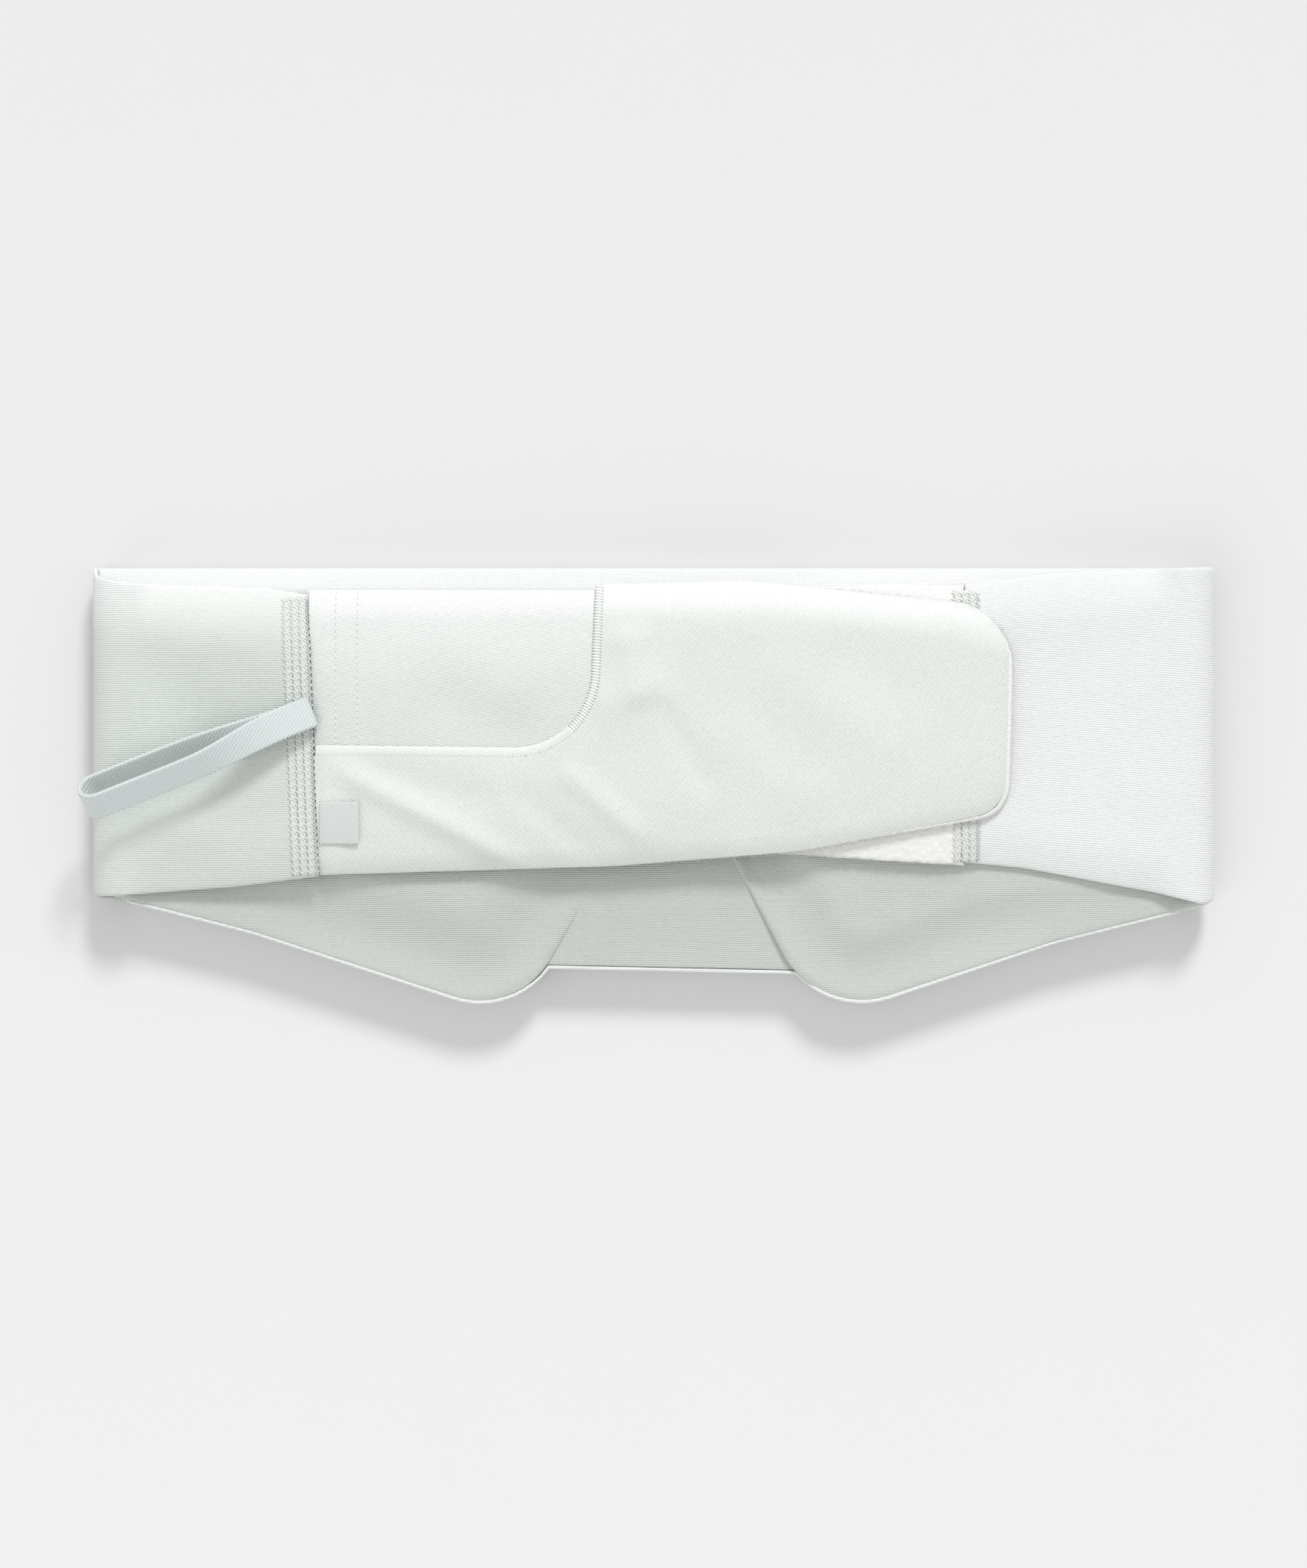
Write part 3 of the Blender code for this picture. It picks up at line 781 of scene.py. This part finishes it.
def build_panel(cloths):
    finish_sheet(build_shell(cloths), "outer_shell", "face_knit", "eye_panel")

    cut = inset(rounded(SHELL_CORNERS), 2 * MM)
    block = cloth("light_block", cut, *over(level, "blackout_layer"), cloths["dark"])
    finish_sheet(block, "blackout_layer", "blackout", "eye_panel")

    nose = rounded([(-40, -44.9, 0), (48, -46.7, 0), (30, 46, 0), (-22, 46, 0)])
    low, high = over(nose_lift, "nose_panel")
    bridge = cloth("nose_bridge", nose, low, high, cloths["lining"])
    finish_sheet(bridge, "nose_panel", "lining_knit", "eye_panel")

    hem = rounded([
        (-134.5, 46, 0), (136, 46, 0), (136, 54, 1.0), (-138.8, 54, 0.5), (-138.8, 50.6, 0),
        (-134.5, 49.8, 0),
    ])

    def hem_top(x, y):
        return HEM_TOP_Z - HEM_SLOPE * np.maximum(y - HEM_BEND_Y, 0)

    def hem_foot(x, y):
        return HEM_FOOT_Z + 0 * x

    roll = cloth("forehead_hem", hem, hem_foot, hem_top, cloths["face"], run=0.7 * MM, blunt=0.7)
    assign(roll, "face_knit", "eye_panel")


def distance_line(line):
    """Distance from a line in the plane, as a function of x and y."""

    def measure(x, y):
        spots = np.column_stack([np.ravel(x), np.ravel(y)])
        return distance_to(spots, line, False).reshape(np.shape(x))

    return measure


def lobe_outline(side):
    """One lobe as its free edge, from the fold round to the nose, and the two hidden corners."""
    if side < 0:
        free = rounded([(-136, -27.7, 0), (-100, -37.05, 60), (-34.5, -58.5, 21.2), (3.6, 4.4, 0)], False)
        hidden = (4, -136)
    else:
        free = rounded([(6.4, 6.0, 0), (41.1, -59.0, 22.2), (100, -39.5, 60), (136, -30.4, 0)], False)
        hidden = (136, 6)
    return free, [Vector((x * MM, LOBE_BACK_Y)) for x in hidden]


def inflate(obj, low, high):
    """Raises a closed mesh by cloth pressure, moving its points up or down only."""
    rest = np.array([v.co for v in obj.data.vertices])
    modifier = obj.modifiers.new("Cloth", "CLOTH")
    settings = modifier.settings
    settings.use_pressure = True
    settings.uniform_pressure_force = 4.0
    settings.effector_weights.gravity = 0.0
    settings.tension_stiffness = 20.0
    settings.compression_stiffness = 20.0
    settings.bending_stiffness = 2.0
    modifier.point_cache.frame_start = 1
    modifier.point_cache.frame_end = SWELL_FRAMES
    for number in range(1, SWELL_FRAMES + 1):
        bpy.context.scene.frame_set(number)
    graph = bpy.context.evaluated_depsgraph_get()
    swollen = obj.evaluated_get(graph).to_mesh()
    moved = np.array([v.co for v in swollen.vertices]) - rest
    obj.evaluated_get(graph).to_mesh_clear()
    obj.modifiers.remove(modifier)
    bpy.context.scene.frame_set(1)
    share = np.minimum(1, SWELL / np.maximum(np.linalg.norm(moved, axis=1), 1e-9))
    x, y, z = rest.T
    rest[:, 2] = np.clip(z + moved[:, 2] * share, low(x, y), high(x, y) + SWELL_OVER)
    obj.data.vertices.foreach_set("co", rest.astype(np.float32).ravel())
    obj.data.update()


def build_lobe(name, side, cloths):
    free, hidden = lobe_outline(side)
    floor = z_range(f"{name}_lobe_lining")[0]
    rim = distance_line(free)
    inner = distance_line(free[-2:])

    def bottom(x, y):
        return floor + 0 * x

    def top(x, y):
        """A padded rim, a shallow hollow inside it, and the weighted crown towards the forehead."""
        depth = rim(x, y)
        hollow = LOBE_VALLEY * np.sin(pi / 2 * np.clip(depth / LOBE_RIM_WIDTH, 0, 1))
        hollow = hollow * (1 - ramp(abs(x), HOLLOW_ENDS))
        crown = LOBE_CROWN * ramp(depth, CROWN_RUN)
        ends = (LOBE_RIM_Z - FOLD_RIM_Z) * ramp(abs(x), RIM_ENDS)
        soft = shoulder(inner(x, y), *LOBE_INNER_ROLL) if side < 0 else 0.0
        limit = LOBE_TOP_LIMIT + LOBE_MIDDLE_LIFT * ramp(x, MIDDLE_LEFT) * ramp(x, MIDDLE_RIGHT)
        return np.minimum(LOBE_RIM_Z + 0.1 * MM - hollow + crown - ends, limit) - soft

    obj = cloth(
        f"{name}_lobe", free + hidden, bottom, top, cloths["lining"], 2.4 * MM,
        free=free, run=0.8 * MM, rings=(1.6 * MM, 2.8 * MM), blunt=0.8,
    )
    inflate(obj, bottom, top)
    smooth = obj.modifiers.new("Smooth", "SUBSURF")
    smooth.levels = 1
    smooth.render_levels = 1
    layers = ("lobe_lining", "batting", "pouch_cover", "bead_fill", "pouch_base")
    assign(obj, "lining_knit", "eye_panel", *[f"{name}_{layer}" for layer in layers])


def build_strap(name, side, outline, backing, drape, cloths):
    """A band that turns round its fold from the panel to the strap, and the strap's backing."""
    top = strap_top(drape)

    def bottom(x, y):
        return top(x, y) - BAND_THICKNESS

    bend = fold_over(side)
    obj = cloth(f"{name}_band", rounded(outline), bottom, top, cloths[name], bend=bend, run=1.0 * MM)
    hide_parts(f"{name}_fold", f"{name}_strap_face")
    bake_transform(obj)

    # Both backings lie at the right one's heights.
    low, high = over(drape, "right_strap_backing")
    lining = cloth(f"{name}_strap_lining", rounded(backing), low, high, cloths["fleece"], 2.5 * MM)
    finish_sheet(lining, f"{name}_strap_backing", "brushed_white", f"{name}_strap")


def build_left_strap(cloths):
    end = -BAND_END / MM
    outline = [
        (end, -29.5, 0), (-143.6, -28.2, 10), (-132, -27.7, 30), (-103.3, -25.5, 40), (-83.1, -22.9, 0),
        (-85.8, 47.1, 0), (-96, 48.7, 20), (-131, 50.0, 20), (-139, 51.4, 4), (-143.5, 54, 2), (end, 54, 0),
    ]
    backing = [(-131, -27, 0), (-84, -22.4, 0), (-86.3, 46.4, 0), (-131, 49.2, 0)]
    build_strap("left", -1, outline, backing, left_drape, cloths)


def build_right_strap(cloths):
    end = BAND_END / MM
    outline = [
        (77.5, -19.5, 0), (92, -20.9, 60), (125.2, -27.1, 80), (136.5, -29.9, 6), (143.6, -28.9, 5),
        (150, -31.0, 8), (end, -32.1, 0), (end, 54, 0), (139, 54, 30), (100, 52.5, 60), (80, 50.0, 30),
        (77.5, 50, 0),
    ]
    backing = [
        (31, -16.9, 0), (77.5, -19.4, 0), (100, -21.6, 60), (130.6, -27.9, 0), (130.6, 52.6, 0),
        (31, 48.8, 0),
    ]
    build_strap("right", 1, outline, backing, right_drape, cloths)

    landing = rounded([(*corner, 0) for corner in (*LANDING_FOOT, (77.2, 49.6), (30, 49.2))])
    low, high = over(right_drape, "landing_panel")
    chance = np.random.default_rng(5)

    def pile(x, y):
        return high(x, y) + chance.uniform(-0.2, 0.15, np.shape(x)) * MM

    patch = cloth("pile_landing", landing, low, pile, cloths["fleece"], spacing=0.7 * MM, frayed=0.15 * MM)
    finish_sheet(patch, "landing_panel", "brushed_white", "right_strap")


def finish_sheet(obj, node, slot, body):
    assign(obj, slot, body, node)


def flap_outline(top=0.0, end=0.0, foot=0.0):
    """The flap's outline with its top, end and lower edges moved out by some millimetres."""
    lower = [
        (seam_x(-22.6 * MM, FLAP_TUCK) / MM, -22.6 - foot, 0),
        (-9.8, -20.4 - foot, 120),
        (37, -17.2 - (foot + end) / 2, 120),
        (88.3 + end, -7.6 - end, 9),
    ]
    upper = [(89.5 + end, 44.0 + top, 15), (24.5, 50.3 + top, 60)]
    head = (seam_x(49 * MM, FLAP_TUCK) / MM, 49.0 + top, 0)
    return lower, upper, head


def build_flap(cloths):
    lower, upper, head = flap_outline(top=-1.8, foot=-1.5)
    fleece = rounded([*lower, *upper, head])
    lower, upper, head = flap_outline()
    edge = distance_line(rounded([*lower, *upper, head], False))
    low = z_range("flap_backing")[0]
    face_top = z_range("flap_face")[1]
    rim = FLEECE_RIM

    def pinch(x, y):
        """The layers draw together towards the cut edge."""
        return shoulder(edge(x, y), *FLAP_PINCH) * (y < PINCH_END_Y)

    def fleece_top(x, y):
        """Thin under the face, and swollen up to the face's height along the cut edge."""
        swell = 1 - eased((edge(x, y) - rim) / FLEECE_STEP)
        thin = low + FLEECE_THIN
        return flap_drape(x, y) + thin + swell * (face_top - thin) - pinch(x, y) * (0.4 + 0.6 * swell)

    def fleece_low(x, y):
        return low + flap_drape(x, y)

    back = cloth(
        "flap_fleece", fleece, fleece_low, fleece_top, cloths["fleece"], 0.9 * MM,
        run=0.6 * MM, rings=(rim, rim + 0.4 * MM), blunt=0.5, frayed=0.13 * MM,
    )
    finish_sheet(back, "flap_backing", "brushed_white", "closure_flap")

    lower, upper, head = flap_outline(end=0.15 - rim / MM)
    away = MOUTH_WIDTH / 2 / MM - 0.3
    beside = away - 0.25
    mouth = [
        (-13.2 + beside, upper[-1][1] - 0.7, 0),
        (MOUTH_CORNER[0] + beside, MOUTH_CORNER[1] - away, MOUTH_CORNER[2] + away),
        (seam_x(6.4 * MM, FLAP_TUCK) / MM, 8.2 - away, 0),
    ]
    front = rounded([*lower, *upper, *mouth])
    low, high = over(lambda x, y: flap_drape(x, y) - pinch(x, y), "flap_face")
    face = cloth("flap_front", front, low, high, cloths["flap"], spacing=1.2 * MM, run=0.3 * MM, blunt=0.9)
    finish_sheet(face, "flap_face", "face_knit", "closure_flap")

    foot = (seam_x(-14 * MM, FLAP_TUCK) / MM, -14, 0)
    bag = rounded([foot, (8, -14, 22), (10, 48.2, 0), (seam_x(48 * MM, FLAP_TUCK) / MM, 48.2, 0)])
    low, high = over(lambda x, y: flap_drape(x, y) + POCKET_LIFT, "pocket_bag")
    lining = cloth("pocket_lining", bag, low, high, cloths["pocket"], spacing=1.2 * MM)
    finish_sheet(lining, "pocket_bag", "face_knit", "closure_flap")


def along_path(path, pitch):
    """Place and direction at every pitch along a path in the plane."""
    spots = []
    carry = 0.0
    for start, end in zip(path, path[1:]):
        length = (end - start).length
        direction = (end - start) / length
        while carry < length:
            spots.append((start + direction * carry, direction))
            carry += pitch
        carry -= length
    return spots


def build_mouth(cloths):
    """Overlock wraps over a core, closer on the level run, with dark dots of painted shade where they enter
    the cloth.
    """
    low = z_range("pocket_mouth_edge")[0]
    path = rounded([(seam_x(8.2 * MM, 0.3 * MM) / MM, 8.2, 0), MOUTH_CORNER, (-13.2, 49.0, 0)], False)
    half_way = len(path) // 2
    spots = along_path(path[:half_way + 1], 0.44 * MM) + along_path(path[half_way:], 0.72 * MM)

    def point(spot, across, side, lift):
        flat = spot + across * side
        return Vector((flat.x, flat.y, low + float(flap_drape(flat.x, flat.y)) + lift))

    wraps, dots, core = [], [], []
    for number, (spot, direction) in enumerate(spots):
        across = Vector((direction.y, -direction.x))
        half = MOUTH_WIDTH / 2 * (0.88 + 0.12 * abs(direction.x))
        wrap = []
        for step in range(9):
            angle = pi * step / 8
            slant = direction * 0.1 * MM * cos(angle)
            wrap.append(point(spot + slant, across, -cos(angle) * half, 0.9 * MM * sin(angle) ** 0.6))
        wraps.append(wrap)
        core.append((point(spot, across, 0.0, 0.3 * MM), across, half))
        if number % 2:
            inner = spot + direction * 0.3 * MM
            away = point(inner, across, -half - 0.12 * MM, 0.05 * MM)
            dots.append([away, point(inner, across, -half + 0.25 * MM, 0.25 * MM)])
        if number % 3 == 0:
            side = half + 0.3 * MM
            onward = spot + direction * 0.25 * MM
            dots.append([point(spot, across, side, 0.0), point(onward, across, side, 0.0)])
    obj = tubes("mouth_overlock", wraps, 0.25 * MM, cloths["thread"])
    bed = ribbon("mouth_core", core, 1.2 * MM, cloths["thread"])
    holes = tubes("mouth_needle_holes", dots, 0.13 * MM, cloths["dimple"])
    assign(obj, "thread", "closure_flap", "pocket_mouth_edge")
    for piece in (bed, holes):
        assign(piece, "thread", "closure_flap")


def stitch_row(line, surface, pitch, length, lift):
    """Short arched stitches along a line, each one a path."""
    made = []
    for spot, direction in along_path(line, pitch):
        path = []
        for step in range(5):
            share = step / 4
            flat = spot + direction * length * (share - 0.5)
            z = surface(flat.x, flat.y) + lift * sin(pi * share)
            path.append(Vector((flat.x, flat.y, float(z))))
        made.append(path)
    return made


def build_topstitch(cloths):
    top = z_range("pocket_bag")[1] + POCKET_LIFT

    def surface(x, y):
        return top + flap_drape(x, y) - 0.05 * MM

    for name, x in TOPSTITCH_X.items():
        line = [Vector((x, y)) * MM for y in TOPSTITCH_Y]
        paths = stitch_row(line, surface, STITCH, 1.15 * MM, 0.08 * MM)
        obj = tubes(f"{name}_needle_row", paths, 0.14 * MM, cloths["thread"])
        assign(obj, "thread", "closure_flap", f"{name}_topstitch")
        shifted = [point + Vector((0, STITCH / 2)) for point in line]
        paths = stitch_row(shifted, surface, STITCH, 0.34 * MM, 0.0)
        # dark dots of painted shade where the needle enters the cloth
        dots = tubes(f"{name}_needle_holes", paths, 0.12 * MM, cloths["dimple"])
        assign(dots, "thread", "closure_flap")


def build_label(cloths):
    left = seam_x(-9.6 * MM, 0.3 * MM) / MM
    outline = rounded([(left, -14.9, 0.4), (-73.0, -14.9, 0.5), (-73.0, -4.4, 0.5), (left, -4.4, 0.4)])
    low = z_range("flap_face")[1] + 0.05 * MM

    def bottom(x, y):
        return low + flap_drape(x, y) + LABEL_LIFT * ramp(x, LABEL_FREE)

    def top(x, y):
        return bottom(x, y) + LABEL_THICKNESS

    obj = cloth("satin_label", outline, bottom, top, cloths["satin"], spacing=0.8 * MM)
    finish_sheet(obj, "woven_label", "label_satin", "closure_flap")


def flatlock(side, foot, head, drape, cloths):
    """Looper threads over four needle rows, as a lattice of thread, with the needle holes between."""
    name = f"{side}_flatlock"
    surface = strap_top(drape)
    along = (head - foot).normalized()
    across = Vector((along.y, -along.x))
    width = ROW_PITCH * (ROWS - 1)
    channels = [(row + 0.5) * ROW_PITCH - width / 2 for row in range(ROWS - 1)]
    count = int((head - foot).length / STITCH)
    chance = random.Random(name)

    def over_face(run, away, lift):
        flat = foot + along * run + across * away
        return Vector((flat.x, flat.y, float(surface(flat.x, flat.y)) + lift))

    light, holes, beds = [], [], []
    for k in range(count):
        run = k * STITCH + chance.uniform(-0.08, 0.08) * MM
        rung = []
        for step in range(RUNG_STEPS + 1):
            away = (step / RUNG_STEPS - 0.5) * (width + RUNG_SPARE)
            wave = RUNG_WAVE * sin(2 * pi * away / ROW_PITCH)
            rung.append(over_face(run + 0.5 * STITCH + wave, away, RUNG_LIFT))
        light.append(rung)
        for row in range(ROWS):
            away = row * ROW_PITCH - width / 2 + chance.uniform(-0.1, 0.1) * MM
            reach = chance.uniform(0.1, 0.2) * MM
            holes.append([over_face(run + end, away, HOLE_LIFT) for end in (-reach, reach)])
    mean, change = STRAND_SWING
    for middle in channels:
        for strand in (-1, 1):
            path = []
            for step in range(count * STRAND_STEPS):
                swing = strand * (mean + change * cos(2 * pi * step / STRAND_STEPS))
                path.append(over_face(step * STITCH / STRAND_STEPS, middle + swing, STRAND_LIFT))
            light.append(path)
    edge = []
    for step in range(count * 2):
        edge.append(over_face(step * STITCH / 2, width / 2 + EDGE_SWING * (step % 2), EDGE_LIFT))
    light.append(edge)
    obj = tubes(name, light, THREAD_RADIUS, cloths["seam_thread"])
    half = ROW_PITCH / 2 + 0.25 * MM
    for number, middle in enumerate(channels, 1):
        spine = [(over_face(step * STITCH, middle, BED_LIFT), across, half) for step in range(count + 1)]
        beds.append(ribbon(f"{name}_bed_{number}", spine, BED_HEIGHT, cloths["seam_thread"]))
    # dark dots at the needle holes: partly needle thread, partly painted shade in the holes
    dots = tubes(f"{name}_holes", holes, 0.1 * MM, cloths["hole"])
    assign(obj, "thread", f"{side}_strap", f"{side}_seam_stitching")
    for piece in (dots, *beds):
        assign(piece, "thread", f"{side}_strap")


def build_seams(cloths):
    foot = Vector((seam_x(-22 * MM, -4.0 * MM), -22.6 * MM))
    head = Vector((seam_x(46.5 * MM, -4.0 * MM), 47.4 * MM))
    flatlock("left", foot, head, left_drape, cloths)
    foot = Vector((RIGHT_SEAM_X, RIGHT_SEAM_FOOT_Y))
    head = Vector((RIGHT_SEAM_X, RIGHT_SEAM_HEAD_Y))
    flatlock("right", foot, head, right_drape, cloths)


def loop_section(share):
    """Axis point, direction of the tape's width, direction between its strands, and half the gap."""
    axis = LOOP_TIP - LOOP_BASE
    sideways = Vector((axis.y, -axis.x, 0.0)).normalized()
    up = Vector((0.0, 0.0, 1.0))
    tilt = LOOP_TILT * float(eased(share / 0.55))
    half_gap = LOOP_GAP[0] + (LOOP_GAP[1] - LOOP_GAP[0]) * sin(pi / 2 * min(share / 0.7, 1.0))
    width = sideways * cos(tilt) + up * sin(tilt)
    between = up * cos(tilt) - sideways * sin(tilt)
    flat = LOOP_BASE + axis * share
    lowest = TAPE_WIDTH / 2 * sin(tilt) + (half_gap + TAPE_THICKNESS / 2) * cos(tilt)
    climb = STRAP_RISE / (PANEL_END + SEAM_FOOT.x) * (flat.x + PANEL_END)
    spot = Vector((flat.x, flat.y, BAND_TOP + LOOP_CLEARANCE + lowest + climb))
    return spot, width, between, half_gap


def loop_frames(steps):
    """Place, width direction and outward normal at each step round the loop of tape."""
    along = (LOOP_TIP - LOOP_BASE).to_3d().normalized()
    base, width, between, half_gap = loop_section(0.0)
    pivot = base - between * (half_gap + LOOP_TUCK)
    sections = [loop_section(step / steps) for step in range(steps + 1)]

    def tucked(radius, outward):
        turned = []
        for step in range(8, 0, -1):
            angle = pi / 2 * step / 8
            spoke = between * cos(angle) - along * sin(angle)
            turned.append((pivot + spoke * radius, width, spoke * outward))
        return turned

    frames = tucked(LOOP_TUCK, -1)
    frames += [(spot - apart * gap, wide, -apart) for spot, wide, apart, gap in sections]
    spot, wide, apart, gap = sections[-1]
    for step in range(1, steps // 3):
        angle = pi * step / (steps // 3)
        spoke = along * sin(angle) - apart * cos(angle)
        frames.append((spot + spoke * gap, wide, spoke))
    frames += [(spot + apart * gap, wide, apart) for spot, wide, apart, gap in reversed(sections)]
    frames += reversed(tucked(LOOP_TUCK + 2 * half_gap, 1))
    return frames


def build_loop(cloths):
    """Woven tape with raised selvedges, sewn in at the seam."""
    columns = 24
    points = []
    frames = loop_frames(LOOP_STEPS)
    for row, (spot, width, normal) in enumerate(frames):
        weave = sin(row * PICK_TURN)
        for face in (1, -1):
            for column in range(columns + 1):
                share = face * (2 * column / columns - 1)
                at_side = abs(share) == 1
                if at_side and face < 0:
                    continue
                selvedge = 0.22 * MM * (1 - min(1, (1 - abs(share)) / 0.14)) * (1 + 0.5 * weave)
                round_off = 0.0 if at_side else (1 - abs(share) ** 14) ** 0.5
                lift = (TAPE_THICKNESS / 2 + selvedge) * round_off
                pick = 0.09 * MM * weave if at_side else 0.0
                side = share * (TAPE_WIDTH / 2 + pick)
                points.append(spot + width * side + normal * face * lift)
    obj = new_piece("tape_loop", points, sleeve(0, len(frames), 2 * columns), cloths["tape"])
    assign(obj, "woven_tape", "hanging_loop", "hanging_loop")


def build_hook(cloths):
    outline = rounded([(38, -9.5, 3), (70, -5.5, 3), (70, 41, 3), (38, 44, 3)])
    obj = cloth("hook_patch", outline, *over(level, "hook_tape"), cloths["hook"])
    finish_sheet(obj, "hook_tape", "hook_plastic", "closure_flap")


def build_edge_fibres(cloths):
    """Loose fibre along the cut edge of the flap and the lower edge of the landing panel."""
    chance = random.Random(11)
    lower, upper, head = flap_outline()
    edge = rounded([*lower, *upper], False)
    low = z_range("flap_backing")[0]
    roots, directions = [], []
    for spot, direction in along_path(edge, 0.12 * MM):
        out = Vector((direction.y, -direction.x, 0.0))
        lift = chance.uniform(0.4, 2.0) * MM
        z = low + lift + float(flap_drape(spot.x, spot.y))
        roots.append(Vector((spot.x, spot.y, z)) - out * 0.25 * MM)
        directions.append(out + Vector((0, 0, chance.uniform(-0.2, 0.9))))
    obj = fibres("flap_fibres", roots, directions, 0.9 * MM, 0.035 * MM, cloths["fleece"], 12)
    assign(obj, "brushed_white", "closure_flap")

    line = [Vector(corner) * MM for corner in LANDING_FOOT]
    roots, directions = [], []
    for spot, _ in along_path(line, 0.1 * MM):
        z = LANDING_EDGE_Z + chance.uniform(-0.4, 0.5) * MM
        roots.append(Vector((spot.x, spot.y + 0.1 * MM, z)))
        directions.append(Vector((0, -1, chance.uniform(-0.3, 0.6))))
    obj = fibres("landing_fibres", roots, directions, 0.8 * MM, 0.05 * MM, cloths["fleece"], 13)
    assign(obj, "brushed_white", "right_strap")


# ---------------------------------------------------------------- stage

def build_stage():
    points = [(-3, -3, -0.0002), (3, -3, -0.0002), (3, 3, -0.0002), (-3, 3, -0.0002)]
    material, tree, shader = new_material("floor_paper", 0.9)
    where = object_point(tree)
    # painted shade: the floor is darker towards the back (+Y) and lighter towards the front, standing for
    # the fall-off of the studio light, with a faint grain
    forward = add_node(tree, "SeparateXYZ", {"Vector": where}).outputs["Y"]
    grain = noise(tree, where, 25.0, 2.0)
    shade(tree, shader, FLOOR_COLOR, weighted(tree, 0.5, (forward, -2.0), (grain, 0.15)), 0.95)
    floor = new_piece("floor", points, [(0, 1, 2, 3)], material)


def sun_light(name, towards, strength, angle):
    light = bpy.data.lights.new(name, "SUN")
    light.energy = strength
    light.angle = angle
    obj = bpy.data.objects.new(name, light)
    bpy.context.scene.collection.objects.link(obj)
    obj.rotation_euler = Vector(towards).to_track_quat("Z", "Y").to_euler()


def build_lights():
    scene = bpy.context.scene
    world = bpy.data.worlds.new("studio")
    world.use_nodes = True
    background = world.node_tree.nodes["Background"]
    background.inputs["Color"].default_value = (1, 1, 1, 1)
    background.inputs["Strength"].default_value = SKY_STRENGTH
    scene.world = world
    sun_light("key", KEY_TOWARDS, KEY_STRENGTH, KEY_ANGLE)
    sun_light("fill", FILL_TOWARDS, FILL_STRENGTH, FILL_ANGLE)
    scene.view_settings.view_transform = "Standard"


def build_camera():
    camera = bpy.data.cameras.new("camera")
    camera.lens = LENS
    camera.sensor_width = SENSOR
    obj = bpy.data.objects.new("camera", camera)
    bpy.context.scene.collection.objects.link(obj)
    obj.location = (0, 0, FOCUS_Z + VIEW_HEIGHT / 2 / (SENSOR / 2 / LENS))
    bpy.context.scene.camera = obj


def make_cloths():
    return {
        # the spans of two heights below paint a highlight towards the forehead edge, where the light falls
        "face": knit("face_jersey", FACE_KNIT),
        # the left strap's knit is painted darker for shade
        "left": knit("left_strap_jersey_painted_shade", LEFT_STRAP_SHADED_KNIT, highlight_span=(32, 50)),
        "right": knit("right_strap_jersey", FACE_KNIT, angle=radians(-5)),
        # the flap and pocket knits are painted darker for shade
        "flap": knit("flap_jersey_painted_shade", FLAP_SHADED_KNIT, angle=radians(22), highlight_span=(34, 50)),
        "pocket": knit("pocket_jersey_painted_shade", POCKET_SHADED_KNIT, angle=radians(10), highlight_span=(12, 50)),
        "lining": knit("lining_jersey", LINING_KNIT, pitch=0.51 * MM),
        "fleece": brushed("white_fleece", FLEECE),
        "tape": twill("tape_twill", TAPE_COLOR, 0.75 * MM, radians(60), 0.1 * MM),
        "satin": twill("label_satin_weave", SATIN, 0.5 * MM, radians(40), 0.03 * MM, 0.45),
        "thread": thread("spun_thread", THREAD_COLOR),
        "seam_thread": thread("seam_thread", SEAM_THREAD_COLOR),
        "hole": thread("needle_hole", HOLE_SHADE_COLOR, 0.9),
        "dimple": thread("needle_dimple", DIMPLE_SHADE_COLOR, 0.9),
        "dark": plain_grain("blackout_film", (0.03, 0.03, 0.035), 0.6),
        "hook": plain_grain("hook_moulding", (0.78, 0.79, 0.78), 0.45),
    }


def main():
    build_stage()
    build_lights()
    build_camera()
    cloths = make_cloths()
    build_panel(cloths)
    build_lobe("left", -1, cloths)
    build_lobe("right", 1, cloths)
    build_left_strap(cloths)
    build_right_strap(cloths)
    build_flap(cloths)
    build_mouth(cloths)
    build_topstitch(cloths)
    build_label(cloths)
    build_seams(cloths)
    build_loop(cloths)
    build_hook(cloths)
    build_edge_fibres(cloths)


main()
